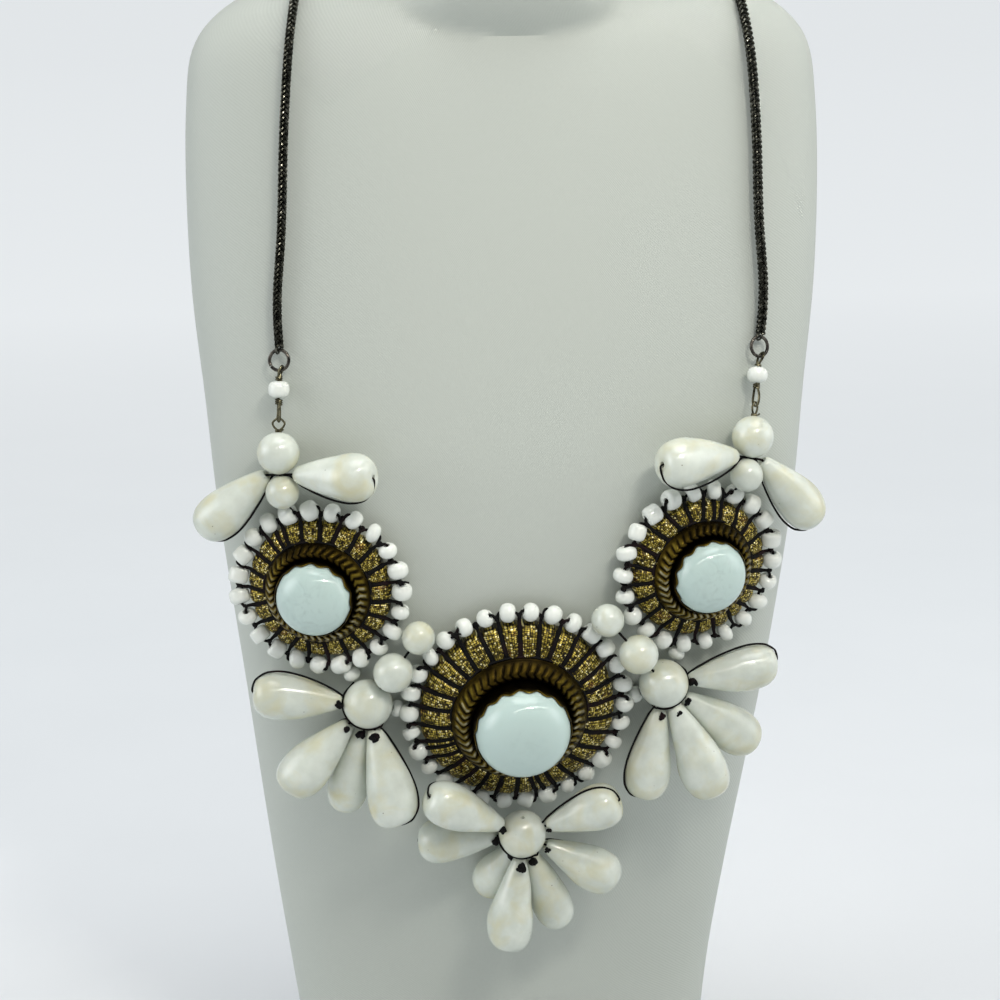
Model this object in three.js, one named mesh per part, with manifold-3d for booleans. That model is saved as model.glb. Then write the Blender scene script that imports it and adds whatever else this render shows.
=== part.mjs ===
// Bib necklace of stone beads, drops and three stitched medallions, lying on a plain neck bust.
// Millimetres. +Z is up, the front faces -Y, +X is to the right as seen from the front.
// The origin is the middle of the bust's flat base. Clock angles run clockwise from 12, seen from outside.
import * as THREE from 'three';
import { mergeVertices } from 'three/addons/utils/BufferGeometryUtils.js';
import Module from 'manifold-3d';

const wasm = await Module();
wasm.setup();

// Driving dimensions
const clearance = 0.33;     // free space between neighbouring solids
const sides = 10;           // facets round a bead or a drop

const bust = { height: 358, width: 154, depth: 71, frontSquare: 2.4, backSquare: 2.6, facets: 28, levels: 20 };

const chain = { diameter: 2.3, step: 6.4, facets: 8 };
const jumpRing = { radius: 2.4, wire: 0.8 };
const wire = 0.62;                                         // of the links and eyes
const eye = { radius: 1.35, wrap: 0.35, tail: 4 };         // the loop standing on the top bead
const link = { topLoop: 1.2, lowLoop: 1, stretch: 1.2, wrap: 0.7, turn: 80 };
const linkBead = { diameter: 5, length: 4 };
const bore = 1.35;                                         // thread hole of a drilled bead
const clasp = { diameter: 5.4, length: 13, socket: 2.5 };

const edgeBead = { diameter: 4.8, length: 3.9 };
const thread = 0.9;                                        // the string of the edge beads
const cabSkirt = 1.2;                                      // straight side of a cabochon below its dome
const plate = 0.7;                                         // wall of a stamped setting
const rib = 0.16;                                          // height of the rope ribs on a setting

const topBead = 10, smallBead = 8, joinBead = 9.6, hubBead = 12;   // diameters
const topLift = 6.2;        // height of a top bead's centre over the bust
const ringLift = 1.9;       // height of a jump ring's centre over the bust
const chainSlack = 0.65;    // extra height of the chain over the bust, as its facets cut the corners
const tipGap = 0.45;        // from a drop's tip to the hub bead that it hangs on
const waist = 3.7;          // from the middle between two touching beads to the tip of a drop beside them

// The bust's sections, as shares: at of the height, half of the half width, front, back and bulge of the depth.
const sections = [
  { at: 0, half: 0.7, front: -0.113, back: 0.704, bulge: 0.296 },
  { at: 0.056, half: 0.717, front: -0.113, back: 0.69, bulge: 0.296 },
  { at: 0.12, half: 0.758, front: -0.12, back: 0.65, bulge: 0.31 },
  { at: 0.218, half: 0.812, front: -0.239, back: 0.6, bulge: 0.331 },
  { at: 0.313, half: 0.858, front: -0.385, back: 0.58, bulge: 0.352 },
  { at: 0.405, half: 0.908, front: -0.465, back: 0.575, bulge: 0.373 },
  { at: 0.475, half: 0.943, front: -0.493, back: 0.575, bulge: 0.387 },
  { at: 0.553, half: 0.97, front: -0.49, back: 0.575, bulge: 0.394 },
  { at: 0.637, half: 1, front: -0.472, back: 0.575, bulge: 0.38 },
  { at: 0.712, half: 0.991, front: -0.437, back: 0.575, bulge: 0.352 },
  { at: 0.763, half: 0.975, front: -0.394, back: 0.57, bulge: 0.324 },
  { at: 0.793, half: 0.885, front: -0.345, back: 0.57, bulge: 0.296 },
  { at: 0.816, half: 0.71, front: -0.296, back: 0.57, bulge: 0.296 },
  { at: 0.838, half: 0.571, front: -0.268, back: 0.57, bulge: 0.31 },
  { at: 0.869, half: 0.5, front: -0.246, back: 0.575, bulge: 0.31 },
  { at: 0.916, half: 0.474, front: -0.239, back: 0.58, bulge: 0.31 },
  { at: 0.972, half: 0.468, front: -0.239, back: 0.592, bulge: 0.31 },
  { at: 1, half: 0.455, front: -0.225, back: 0.585, bulge: 0.3 },
];

// Each medallion: rim is the radius of its ring of edge beads, pad and edge are heights of the cushion in the middle
// and at its edge, ring the radius of the setting, cab the diameter of the stone and cabLift its girdle in the setting.
const medallions = {
  centre: { rim: 26.6, beads: 30, pad: 6.9, edge: 4.3, ring: 16.6, crest: 3.8, cab: 22.5, dome: 7, cabLift: 6.6 },
  left: { rim: 20.1, beads: 23, pad: 4.8, edge: 3.4, ring: 12.8, crest: 2.9, cab: 17.5, dome: 5.3, cabLift: 3.7 },
  right: { rim: 20, beads: 22, pad: 4.8, edge: 3.4, ring: 12.8, crest: 2.9, cab: 17.5, dome: 5.3, cabLift: 3.7 },
};
const centreAt = { x: -1.3, z: 118 };
const leftFrom = { clock: 304.7, space: 10 };
const rightFrom = { clock: 52.3, space: 9 };

// Round beads that nestle on a ring of edge beads: rise is the angle up from the ring, away is extra distance.
const nestled = [
  { name: 'small_bead_top_left', on: 'left', clock: 344.5, rise: 22, size: smallBead },
  { name: 'small_bead_top_right', on: 'right', clock: 22, rise: 29, size: smallBead },
  { name: 'small_bead_left', on: 'centre', clock: 312, rise: 20, size: smallBead },
  { name: 'small_bead_right', on: 'centre', clock: 40.5, rise: 26, size: smallBead },
  { name: 'join_bead_left', on: 'centre', clock: 293.4, rise: 26, size: joinBead },
  { name: 'join_bead_right', on: 'right', clock: 222, rise: 44, size: joinBead },
  { name: 'hub_bead_left', on: 'centre', clock: 275.6, rise: 5, away: 1.5, size: hubBead },
  { name: 'hub_bead_right', on: 'centre', clock: 81.3, rise: 7, away: 1.3, size: hubBead },
  { name: 'hub_bead_bottom', on: 'centre', clock: 177.7, rise: 41, size: hubBead },
];

// Drops round each hub: clock is the way the fat end points, lift turns it away from the bust.
const drops = [
  { name: 'drop_top_left_1', hub: 'top_left', clock: 229, lift: 5, length: 21.5, diameter: 11.1 },
  { name: 'drop_top_left_2', hub: 'top_left', clock: 88, lift: 5, length: 20, diameter: 11.3 },
  { name: 'drop_top_right_1', hub: 'top_right', clock: 272, lift: 5, length: 22.5, diameter: 11.8 },
  { name: 'drop_top_right_2', hub: 'top_right', clock: 138, lift: 5, length: 22.5, diameter: 11.1 },
  { name: 'drop_left_1', hub: 'hub_bead_left', clock: 276.5, lift: 2, length: 21.5, diameter: 12.2 },
  { name: 'drop_left_2', hub: 'hub_bead_left', clock: 224, lift: 10, length: 23.8, diameter: 11.8 },
  { name: 'drop_left_3', hub: 'hub_bead_left', clock: 194, lift: -1, length: 24.6, diameter: 10.3 },
  { name: 'drop_left_4', hub: 'hub_bead_left', clock: 166.5, lift: 14, length: 24.7, diameter: 12.2 },
  { name: 'drop_right_1', hub: 'hub_bead_right', clock: 83, lift: 2, length: 22.8, diameter: 11.6 },
  { name: 'drop_right_2', hub: 'hub_bead_right', clock: 127, lift: 3, length: 24.6, diameter: 11.8 },
  { name: 'drop_right_3', hub: 'hub_bead_right', clock: 156, lift: 16, length: 25.6, diameter: 11.8 },
  { name: 'drop_right_4', hub: 'hub_bead_right', clock: 188.5, lift: 7, length: 23.5, diameter: 11.6 },
  { name: 'drop_bottom_1', hub: 'hub_bead_bottom', clock: 305, lift: 9, length: 23.3, diameter: 11.3 },
  { name: 'drop_bottom_2', hub: 'hub_bead_bottom', clock: 258, lift: -12, length: 20, diameter: 11.3 },
  { name: 'drop_bottom_3', hub: 'hub_bead_bottom', clock: 199, lift: -15, length: 18, diameter: 10.4 },
  { name: 'drop_bottom_4', hub: 'hub_bead_bottom', clock: 187, lift: 13, length: 25.5, diameter: 11.3 },
  { name: 'drop_bottom_5', hub: 'hub_bead_bottom', clock: 160, lift: 2, length: 24.5, diameter: 10.3 },
  { name: 'drop_bottom_6', hub: 'hub_bead_bottom', clock: 122, lift: 3, length: 21.8, diameter: 11.3 },
  { name: 'drop_bottom_7', hub: 'hub_bead_bottom', clock: 65, lift: 6, length: 19.5, diameter: 11.3 },
];

// Chain route above each jump ring, at shares of the bust's height: left and right are the angle of each side's chain
// round the bust from its front.
const chainRoute = [
  { at: 0.66, left: 41.4, right: 44.3 }, { at: 0.72, left: 40.7, right: 44.3 }, { at: 0.775, left: 40.8, right: 45.2 },
  { at: 0.81, left: 54, right: 63 }, { at: 0.828, left: 78, right: 83 }, { at: 0.828, left: 104, right: 106 },
  { at: 0.822, left: 128, right: 128 }, { at: 0.816, left: 150, right: 150 }, { at: 0.812, left: 166, right: 166 },
];

const stone = new THREE.MeshStandardMaterial({ color: 0xece8dc, roughness: 0.25, metalness: 0 });
const seed = new THREE.MeshStandardMaterial({ color: 0xe9ebea, roughness: 0.3, metalness: 0 });
const milkGlass = new THREE.MeshStandardMaterial({ color: 0xbfdbe0, roughness: 0.12, metalness: 0 });
const oldBrass = new THREE.MeshStandardMaterial({ color: 0x5a4a22, roughness: 0.5, metalness: 0.8 });
const darkBrass = new THREE.MeshStandardMaterial({ color: 0x3a3128, roughness: 0.45, metalness: 0.9 });
const lame = new THREE.MeshStandardMaterial({ color: 0x9a7a2e, roughness: 0.5, metalness: 0.5 });
const leatherette = new THREE.MeshStandardMaterial({ color: 0xdadcd4, roughness: 0.6, metalness: 0 });

const necklace = new THREE.Group();
const degrees = THREE.MathUtils.degToRad;

function addMesh(name, geometry, material, parent = necklace) {
  const mesh = new THREE.Mesh(geometry, material);
  mesh.name = name;
  parent.add(mesh);
  return mesh;
}

// Closed geometry to a solid for joining and cutting, and back
function solid(geometry, matrix = new THREE.Matrix4()) {
  const bare = new THREE.BufferGeometry();
  bare.setAttribute('position', geometry.attributes.position.clone());
  bare.setIndex(geometry.index);
  const merged = mergeVertices(bare.applyMatrix4(matrix), 1e-4);
  return new wasm.Manifold(new wasm.Mesh({
    numProp: 3,
    vertProperties: new Float32Array(merged.attributes.position.array),
    triVerts: new Uint32Array(merged.index.array),
  })).setTolerance(0.002);
}

function geometryOf(body) {
  const mesh = body.getMesh();
  const geometry = new THREE.BufferGeometry();
  geometry.setAttribute('position', new THREE.BufferAttribute(mesh.vertProperties, 3));
  geometry.setIndex(new THREE.BufferAttribute(mesh.triVerts, 1));
  geometry.computeVertexNormals();
  return geometry;
}

const joined = (parts) => geometryOf(parts.reduce((whole, part) => whole.add(part)));

function turned(points, facets) {
  return new THREE.LatheGeometry(points.map(([r, y]) => new THREE.Vector2(r, y)), facets);
}

// The bust as a surface. A section is found by its share of the height, a point on it by its turn from the front.
const splines = Object.fromEntries(Object.keys(sections[0]).map((column) => [
  column, new THREE.SplineCurve(sections.map((row, i) => new THREE.Vector2(i, row[column]))),
]));

function sectionAt(t) {
  const value = (column) => splines[column].getPoint(t).y;
  const front = value('front') * bust.depth;
  const middle = front + value('bulge') * bust.depth;
  return {
    z: value('at') * bust.height,
    half: value('half') * bust.width / 2,
    middle,
    bulge: middle - front,
    hollow: value('back') * bust.depth - middle,
  };
}

// Spline place of the section at a height
function placeOf(z) {
  let low = 0, high = 1;
  for (let i = 0; i < 40; i += 1) {
    const t = (low + high) / 2;
    if (splines.at.getPoint(t).y * bust.height < z) low = t;
    else high = t;
  }
  return (low + high) / 2;
}

function pointAt(turn, t) {
  const section = sectionAt(t);
  const [s, c] = [Math.sin(turn), Math.cos(turn)];
  const inFront = c > 0;
  const power = 2 / (inFront ? bust.frontSquare : bust.backSquare);
  const reach = Math.abs(c) ** power * (inFront ? -section.bulge : section.hollow);
  return new THREE.Vector3(Math.sign(s) * section.half * Math.abs(s) ** power, section.middle + reach, section.z);
}

function normalAt(turn, t) {
  const e = 0.004;
  const round = pointAt(turn + e, t).sub(pointAt(turn - e, t));
  const rise = pointAt(turn, t + e).sub(pointAt(turn, t - e));
  return round.cross(rise).normalize();
}

function turnOf(x, t) {
  const share = Math.min(Math.abs(x) / sectionAt(t).half, 0.999);
  return Math.sign(x) * Math.asin(share ** (bust.frontSquare / 2));
}

// A place on the front of the bust, with its own right, up and out
function seatAt(x, z) {
  const t = placeOf(z);
  const turn = turnOf(x, t);
  const point = pointAt(turn, t);
  const out = normalAt(turn, t);
  const right = new THREE.Vector3(0, 0, 1).cross(out).normalize();
  const up = out.clone().cross(right);
  return { point, right, up, out };
}

const along = (seat, clock, lift) => seat.right.clone().multiplyScalar(Math.sin(clock) * Math.cos(lift))
  .addScaledVector(seat.up, Math.cos(clock) * Math.cos(lift))
  .addScaledVector(seat.out, Math.sin(lift));

const basis = (seat) => new THREE.Quaternion().setFromRotationMatrix(
  new THREE.Matrix4().makeBasis(seat.right, seat.up, seat.out));

const upAxis = new THREE.Vector3(0, 1, 0);
const towards = (direction) => new THREE.Quaternion().setFromUnitVectors(upAxis, direction);

function neckBust() {
  const geometry = new THREE.CylinderGeometry(1, 1, 1, bust.facets, bust.levels);
  const spots = geometry.attributes.position;
  for (let i = 0; i < spots.count; i += 1) {
    const [x, y, z] = [spots.getX(i), spots.getY(i), spots.getZ(i)];
    const t = y + 0.5;
    const rim = pointAt(Math.atan2(x, -z), t);
    const middle = new THREE.Vector3(0, sectionAt(t).middle, sectionAt(t).z);
    const spot = middle.lerp(rim, Math.hypot(x, z));
    spots.setXYZ(i, spot.x, spot.y, spot.z);
  }
  // turning the cylinder's axis from Y to Z mirrors it, so the faces are flipped back
  const index = geometry.index.array;
  for (let i = 0; i < index.length; i += 3) [index[i], index[i + 1]] = [index[i + 1], index[i]];
  addMesh('neck_bust', geometry, leatherette);
}

// Stitched cushion: steep at the edge, sloping up to the flat seat of the setting
function padGeometry(m) {
  const radius = m.rim - edgeBead.diameter / 2 - clearance;
  const seatRadius = m.ring + 0.4;
  const slope = (radius - seatRadius) / 3;
  return turned([
    [0, 0], [radius - 0.8, 0], [radius, 0.8], [radius, m.edge * 0.7], [radius - 0.8, m.edge],
    [seatRadius + slope, m.pad - (m.pad - m.edge) * 0.2], [seatRadius, m.pad], [0, m.pad],
  ], 24);
}

// Stamped setting: a ring with rope ribs on its crest, a recess and a scalloped bezel cup for the cabochon
function settingGeometry(m) {
  const cup = m.cab / 2 + 1.25 * clearance;
  const facets = 28;
  const points = [
    [0, 0], [m.ring, 0], [m.ring - 0.3, m.crest * 0.4], [m.ring - 1.5, m.crest * 0.9], [m.ring - 2.8, m.crest],
    [cup + plate + 0.5, plate + 0.6], [cup + plate, plate + 0.6], [cup + plate, m.cabLift + 0.3], [cup, m.cabLift + 0.3],
    [cup, m.cabLift - cabSkirt - clearance], [0, m.cabLift - cabSkirt - clearance],
  ];
  const geometry = turned(points, facets);
  const spots = geometry.attributes.position;
  const bumps = [[4, rib], [3, rib], [7, 0.3], [8, 0.3]];    // rows of the profile: ribs, then the bezel's scallops
  for (let facet = 0; facet <= facets; facet += 1) {
    const side = facet % 2 ? 1 : -1;
    for (const [row, height] of bumps) {
      const i = facet * points.length + row;
      spots.setY(i, spots.getY(i) + side * height);
    }
  }
  return geometry;
}

function cabochonGeometry(m) {
  const r = m.cab / 2;
  const points = [[0, -cabSkirt], [r, -cabSkirt], [r, 0]];
  for (const angle of [28, 52, 72]) points.push([r * Math.cos(degrees(angle)), m.dome * Math.sin(degrees(angle))]);
  return turned([...points, [0, m.dome]], 18);
}

// Ring of edge beads on their thread, one body
function edgeBeadsGeometry(m) {
  const h = edgeBead.length / 2;
  const r = edgeBead.diameter / 2;
  const corner = m.rim / Math.cos(Math.PI / m.beads);
  const string = new THREE.TorusGeometry(corner, thread / 2, 3, m.beads).rotateZ(Math.PI / m.beads);
  const parts = [solid(string)];
  for (let i = 0; i < m.beads; i += 1) {
    const bead = turned([[0, -h], [r * 0.74, -h], [r, 0], [r * 0.74, h], [0, h]], sides);
    const place = new THREE.Matrix4().makeRotationZ(2 * Math.PI * i / m.beads)
      .multiply(new THREE.Matrix4().makeTranslation(m.rim, 0, 0));
    parts.push(solid(bead, place));
  }
  return joined(parts);
}

const discs = {};
const edgeLevel = edgeBead.diameter / 2 + clearance;

function medallion(side, x, z) {
  const m = medallions[side];
  const seat = seatAt(x, z);
  const group = new THREE.Group();
  group.position.copy(seat.point);
  group.quaternion.copy(basis(seat));
  necklace.add(group);
  discs[side] = seat;

  const stack = [
    ['pad', padGeometry(m), lame, clearance],
    ['setting', settingGeometry(m), oldBrass, m.pad + 2 * clearance],
    ['cabochon', cabochonGeometry(m), milkGlass, m.pad + 2 * clearance + m.cabLift],
  ];
  for (const [name, geometry, material, level] of stack) {
    const mesh = addMesh(`${name}_${side}`, geometry, material, group);
    mesh.rotation.x = Math.PI / 2;
    mesh.position.z = level;
  }
  const edge = addMesh(`edge_beads_${side}`, edgeBeadsGeometry(m), seed, group);
  edge.position.z = edgeLevel;
}

const beadAt = {};

function roundBead(name, diameter, centre) {
  beadAt[name] = centre;
  addMesh(name, new THREE.SphereGeometry(diameter / 2, 12, 6), stone).position.copy(centre);
}

// A round bead leaning on a ring of edge beads
function nestledBead({ name, on, clock, rise, away = 0, size }) {
  const seat = discs[on];
  const reach = (size + edgeBead.diameter) / 2 + clearance + away;
  const [c, e] = [degrees(clock), degrees(rise)];
  const centre = seat.point.clone()
    .addScaledVector(along(seat, c, 0), medallions[on].rim + reach * Math.cos(e))
    .addScaledVector(seat.out, edgeLevel + reach * Math.sin(e));
  roundBead(name, size, centre);
}

// Bead with a thread hole along Y
function drilledGeometry(radius, length, middleRadius = radius) {
  const b = bore / 2;
  const h = length / 2;
  return turned([[b, -h], [radius * 0.72, -h], [middleRadius, -h * 0.4], [middleRadius, h * 0.4],
    [radius * 0.72, h], [b, h], [b, -h]], sides);
}

function drilledBall(radius) {
  const b = bore / 2;
  const low = Math.acos(b / radius);
  const points = [];
  for (let i = 0; i <= 6; i += 1) {
    const angle = -low + 2 * low * i / 6;
    points.push([radius * Math.cos(angle), radius * Math.sin(angle)]);
  }
  return turned([...points, points[0]], 12);
}

// Ring of wire in the XY plane, made longer along Y by stretch on each side
function loopSolid(radius, stretch, matrix) {
  const ring = new THREE.TorusGeometry(radius, wire / 2, 5, 12);
  const spots = ring.attributes.position;
  for (let i = 0; i < spots.count; i += 1) {
    const y = spots.getY(i);
    const place = Math.round(Math.atan2(y, spots.getX(i)) / (Math.PI / 6));
    const move = place === 0 || Math.abs(place) === 6 ? 0 : Math.sign(y) * stretch;
    spots.setY(i, y + move);
  }
  return solid(ring, matrix);
}

// Upright rod or wrap of wire from one height to another
function rodSolid(radius, from, to, facets = 6) {
  const rod = new THREE.CylinderGeometry(radius, radius, to - from, facets);
  return solid(rod, new THREE.Matrix4().makeTranslation(0, (from + to) / 2, 0));
}

const shift = (y, turn = 0) => new THREE.Matrix4().makeTranslation(0, y, 0)
  .multiply(new THREE.Matrix4().makeRotationY(degrees(turn)));

// Heights of the hardware above a top bead's centre, each from the piece below
function hardwareStack() {
  const w = wire / 2;
  const eyeFoot = topBead / 2 + clearance;
  const eyeMiddle = eyeFoot + eye.wrap + eye.radius;
  const lowMiddle = eyeMiddle + eye.radius - wire + link.lowLoop + link.stretch - clearance;
  const lowTop = lowMiddle + link.lowLoop + link.stretch;
  const beadFoot = lowTop + link.wrap + 1.2 * clearance;
  const beadTop = beadFoot + linkBead.length;
  const topWrap = beadTop + 1.2 * clearance;
  const topMiddle = topWrap + link.wrap + link.topLoop;
  const ringMiddle = topMiddle + link.topLoop - w - jumpRing.wire / 2 - clearance + jumpRing.radius;
  return { eyeFoot, eyeMiddle, lowMiddle, lowTop, beadFoot, beadTop, topWrap, topMiddle, ringMiddle };
}

// Top bead, eye, link with its small bead, and jump ring, in one straight line up the bust
function hardware(side, small) {
  const h = hardwareStack();
  const below = beadAt[small];
  const seat = seatAt(below.x, below.z);
  const underBead = below.clone().sub(seat.point).dot(seat.out);
  const reach = (topBead + smallBead) / 2 + clearance;
  const dip = Math.asin((topLift - underBead) / reach);
  const centre = below.clone().addScaledVector(along(seat, side.lean, dip), reach);
  const topSeat = seatAt(centre.x, centre.z);
  const rise = Math.asin((ringLift - topLift) / h.ringMiddle);
  const line = along(topSeat, side.chainLean, rise);

  const group = new THREE.Group();
  group.position.copy(centre);
  const face = topSeat.out.clone().addScaledVector(line, -topSeat.out.dot(line)).normalize();
  group.quaternion.setFromRotationMatrix(new THREE.Matrix4().makeBasis(line.clone().cross(face), line, face));
  necklace.add(group);
  const name = side.name;

  addMesh(`top_bead_${name}`, drilledBall(topBead / 2), stone, group);
  addMesh(`eye_wire_${name}`, joined([
    loopSolid(eye.radius, 0, shift(h.eyeMiddle)),
    rodSolid(wire / 2, h.eyeFoot - eye.tail, h.eyeFoot + 0.1),
    rodSolid(wire, h.eyeFoot, h.eyeFoot + eye.wrap + 0.1, 8),
  ]), darkBrass, group);
  addMesh(`link_wire_${name}`, joined([
    loopSolid(link.lowLoop, link.stretch, shift(h.lowMiddle, link.turn)),
    rodSolid(wire / 2, h.lowTop, h.topMiddle - link.topLoop),
    rodSolid(wire, h.lowTop - 0.1, h.lowTop + link.wrap, 8),
    rodSolid(wire, h.topWrap, h.topWrap + link.wrap + 0.1, 8),
    loopSolid(link.topLoop, 0, shift(h.topMiddle, 90)),
  ]), darkBrass, group);
  const bead = addMesh(`link_bead_${name}`, drilledGeometry(linkBead.diameter / 2, linkBead.length), stone, group);
  bead.position.y = (h.beadFoot + h.beadTop) / 2;
  const ring = new THREE.TorusGeometry(jumpRing.radius, jumpRing.wire / 2, 5, 14);
  addMesh(`jump_ring_${name}`, ring, darkBrass, group).position.y = h.ringMiddle;

  beadAt[`top_bead_${name}`] = centre;
  const end = h.ringMiddle + jumpRing.radius + jumpRing.wire / 2 + 1.3 * clearance;   // its end leans
  return centre.clone().addScaledVector(line, end);
}

// Point over the bust at an angle round it from the front and a share of the height
function overBust(angle, at, lift) {
  const t = placeOf(at * bust.height);
  return pointAt(angle, t).addScaledVector(normalAt(angle, t), lift);
}

// Chain from a jump ring over the shoulder to the clasp, drawn as a plain round cord of its outer size
function chainSide(side, hand, start, finish) {
  const lift = chain.diameter / 2 + clearance + chainSlack;
  const route = chainRoute.map((stop) => overBust(hand * degrees(stop[side]), stop.at, lift));
  const ahead = start.clone().lerp(route[0], 0.35);
  const under = seatAt(ahead.x, ahead.z);
  const lead = under.point.addScaledVector(under.out, lift);
  const path = new THREE.CatmullRomCurve3([start, lead, ...route, ...finish], false, 'centripetal');
  const section = new THREE.Shape();
  section.absarc(0, 0, chain.diameter / 2, 0, 2 * Math.PI);
  const steps = Math.round(path.getLength() / chain.step);
  const tube = new THREE.ExtrudeGeometry(section, {
    steps, extrudePath: path, curveSegments: chain.facets / 2, bevelEnabled: false,
  });
  addMesh(`chain_${side}`, tube, darkBrass);
}

// Barrel clasp across the nape, with a socket for each chain end
function napeClasp() {
  const t = placeOf(chainRoute.at(-1).at * bust.height);
  const centre = pointAt(Math.PI, t).addScaledVector(normalAt(Math.PI, t), clasp.diameter / 2 + clearance + chainSlack);
  const [r, h] = [clasp.diameter / 2, clasp.length / 2];
  const hole = chain.diameter / 2 + 1.3 * clearance;
  const points = [
    [0, -h + clasp.socket], [hole, -h + clasp.socket], [hole, -h], [r * 0.8, -h], [r, -h + 1], [r, h - 1],
    [r * 0.8, h], [hole, h], [hole, h - clasp.socket], [0, h - clasp.socket],
  ];
  const mesh = addMesh('clasp', turned(points, 12), darkBrass);
  mesh.rotation.z = Math.PI / 2;
  mesh.position.copy(centre);
  return centre;
}

// Teardrop with its tip at the origin, pointing along Y
function dropGeometry({ length, diameter }) {
  const r = diameter / 2;
  const shape = [[0, 0], [0.15, 0], [0.62, 0.32], [1, 0.7], [0.72, 0.93], [0, 1]];
  return turned(shape.map(([across, up]) => [across * r, up * length]), sides);
}

// The top drops hang from between two beads, the others from their hub bead
const betweenBeads = {
  top_left: ['top_bead_left', 'small_bead_top_left'],
  top_right: ['top_bead_right', 'small_bead_top_right'],
};

// Beside the waist of two touching beads, on the side that the drop points to
function waistTip([upper, lower], centre, seat, direction) {
  const line = beadAt[upper].clone().sub(beadAt[lower]).normalize();
  const across = line.cross(seat.out).normalize();
  return centre.clone().addScaledVector(across, waist * Math.sign(across.dot(direction)));
}

function placeDrop(row, tip, direction) {
  const mesh = addMesh(row.name, dropGeometry(row), stone);
  mesh.position.copy(tip);
  mesh.quaternion.copy(towards(direction));
}

function topDrop(row) {
  const pair = betweenBeads[row.hub];
  const centre = beadAt[pair[0]].clone().lerp(beadAt[pair[1]], topBead / (topBead + smallBead));
  const seat = seatAt(centre.x, centre.z);
  const direction = along(seat, degrees(row.clock), degrees(row.lift));
  placeDrop(row, waistTip(pair, centre, seat, direction), direction);
}

// Free space between the bust and the thickest place of a drop
function spaceUnder(tip, direction, { length, diameter }) {
  const belly = tip.clone().addScaledVector(direction, 0.7 * length);
  const seat = seatAt(belly.x, belly.z);
  return belly.sub(seat.point).dot(seat.out) - diameter / 2;
}

// Drop at a hub bead, lifted further than its row says where the bust is in its way
function hubDrop(row) {
  const centre = beadAt[row.hub];
  const seat = seatAt(centre.x, centre.z);
  for (let lift = row.lift; lift < 60; lift += 1) {
    const direction = along(seat, degrees(row.clock), degrees(lift));
    const tip = centre.clone().addScaledVector(direction, hubBead / 2 + tipGap);
    if (spaceUnder(tip, direction, row) >= clearance) return placeDrop(row, tip, direction);
  }
  throw new Error(`no room for ${row.name}`);
}

function sideSpot({ clock, space }, m) {
  const distance = medallions.centre.rim + m.rim + space;
  return [centreAt.x + distance * Math.sin(degrees(clock)), centreAt.z + distance * Math.cos(degrees(clock))];
}

neckBust();
medallion('centre', centreAt.x, centreAt.z);
medallion('left', ...sideSpot(leftFrom, medallions.left));
medallion('right', ...sideSpot(rightFrom, medallions.right));
nestled.forEach(nestledBead);
const leftEnd = hardware({ name: 'left', lean: degrees(-5), chainLean: degrees(-2) }, 'small_bead_top_left');
const rightEnd = hardware({ name: 'right', lean: degrees(14), chainLean: degrees(12) }, 'small_bead_top_right');
drops.forEach((row) => (betweenBeads[row.hub] ? topDrop : hubDrop)(row));

const claspAt = napeClasp();
const claspEnd = (hand) => [clasp.length / 2 + 5, clasp.length / 2 - clasp.socket + clearance]
  .map((x) => claspAt.clone().add(new THREE.Vector3(hand * x, 0, 0)));
chainSide('left', -1, leftEnd, claspEnd(-1));
chainSide('right', 1, rightEnd, claspEnd(1));

export default necklace;
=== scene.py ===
from math import cos, pi, radians, sin

import bmesh
import bpy
import numpy as np
from mathutils import Matrix, Vector
from mathutils.bvhtree import BVHTree


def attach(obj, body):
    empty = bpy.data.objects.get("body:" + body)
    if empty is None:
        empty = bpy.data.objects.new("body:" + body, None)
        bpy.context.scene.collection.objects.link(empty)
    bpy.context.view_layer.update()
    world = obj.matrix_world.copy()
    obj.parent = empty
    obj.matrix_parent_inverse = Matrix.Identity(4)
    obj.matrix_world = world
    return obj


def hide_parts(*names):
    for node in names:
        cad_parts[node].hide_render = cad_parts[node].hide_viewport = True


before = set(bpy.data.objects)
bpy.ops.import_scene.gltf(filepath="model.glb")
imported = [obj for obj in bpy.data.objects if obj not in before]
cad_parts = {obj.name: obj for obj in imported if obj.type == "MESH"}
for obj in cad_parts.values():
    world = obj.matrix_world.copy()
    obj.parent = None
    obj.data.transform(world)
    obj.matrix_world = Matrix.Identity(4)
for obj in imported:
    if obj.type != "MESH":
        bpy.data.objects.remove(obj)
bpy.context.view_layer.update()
scene = bpy.context.scene
parts = sorted(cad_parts)
bothSides = ("left", "right")
mm = 0.001  # every length below is in millimetres
turn = 2 * pi
upward, forward = np.array([0, 0, 1.0]), np.array([0, -1.0, 0])
print("frame loaded:", len(parts), "parts")

# Mesh helpers. A shape is (points, faces), a place is (origin, axes) with the axes as rows: right, up, out.


def unit(v):
    return v / np.linalg.norm(v)


def cadPoints(node):
    # every corner of a CAD part
    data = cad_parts[node].data
    points = np.empty(len(data.vertices) * 3)
    data.vertices.foreach_get("co", points)
    return (points.reshape(-1, 3) / mm).round(3)


def cadSpots(node):
    # its different corners, each once
    return np.unique(cadPoints(node), axis=0)


def middleOf(node):
    return cadSpots(node).mean(0)


def ballOf(node):
    # middle and radius of a round CAD part
    spots = cadSpots(node)
    middle = (spots.min(0) + spots.max(0)) / 2
    return middle, np.linalg.norm(spots - middle, axis=1).max()


def mainAxes(spots):
    # directions of a cloud of points, the longest first
    return np.linalg.svd(spots - spots.mean(0), full_matrices=False)[2]


def fitted(axis, like):
    return axis if np.dot(axis, like) > 0 else -axis


def facing(out):
    # axes that look along out, with the right-hand side level
    right = unit(np.cross(upward, out))
    return np.array([right, np.cross(out, right), out])


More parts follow.
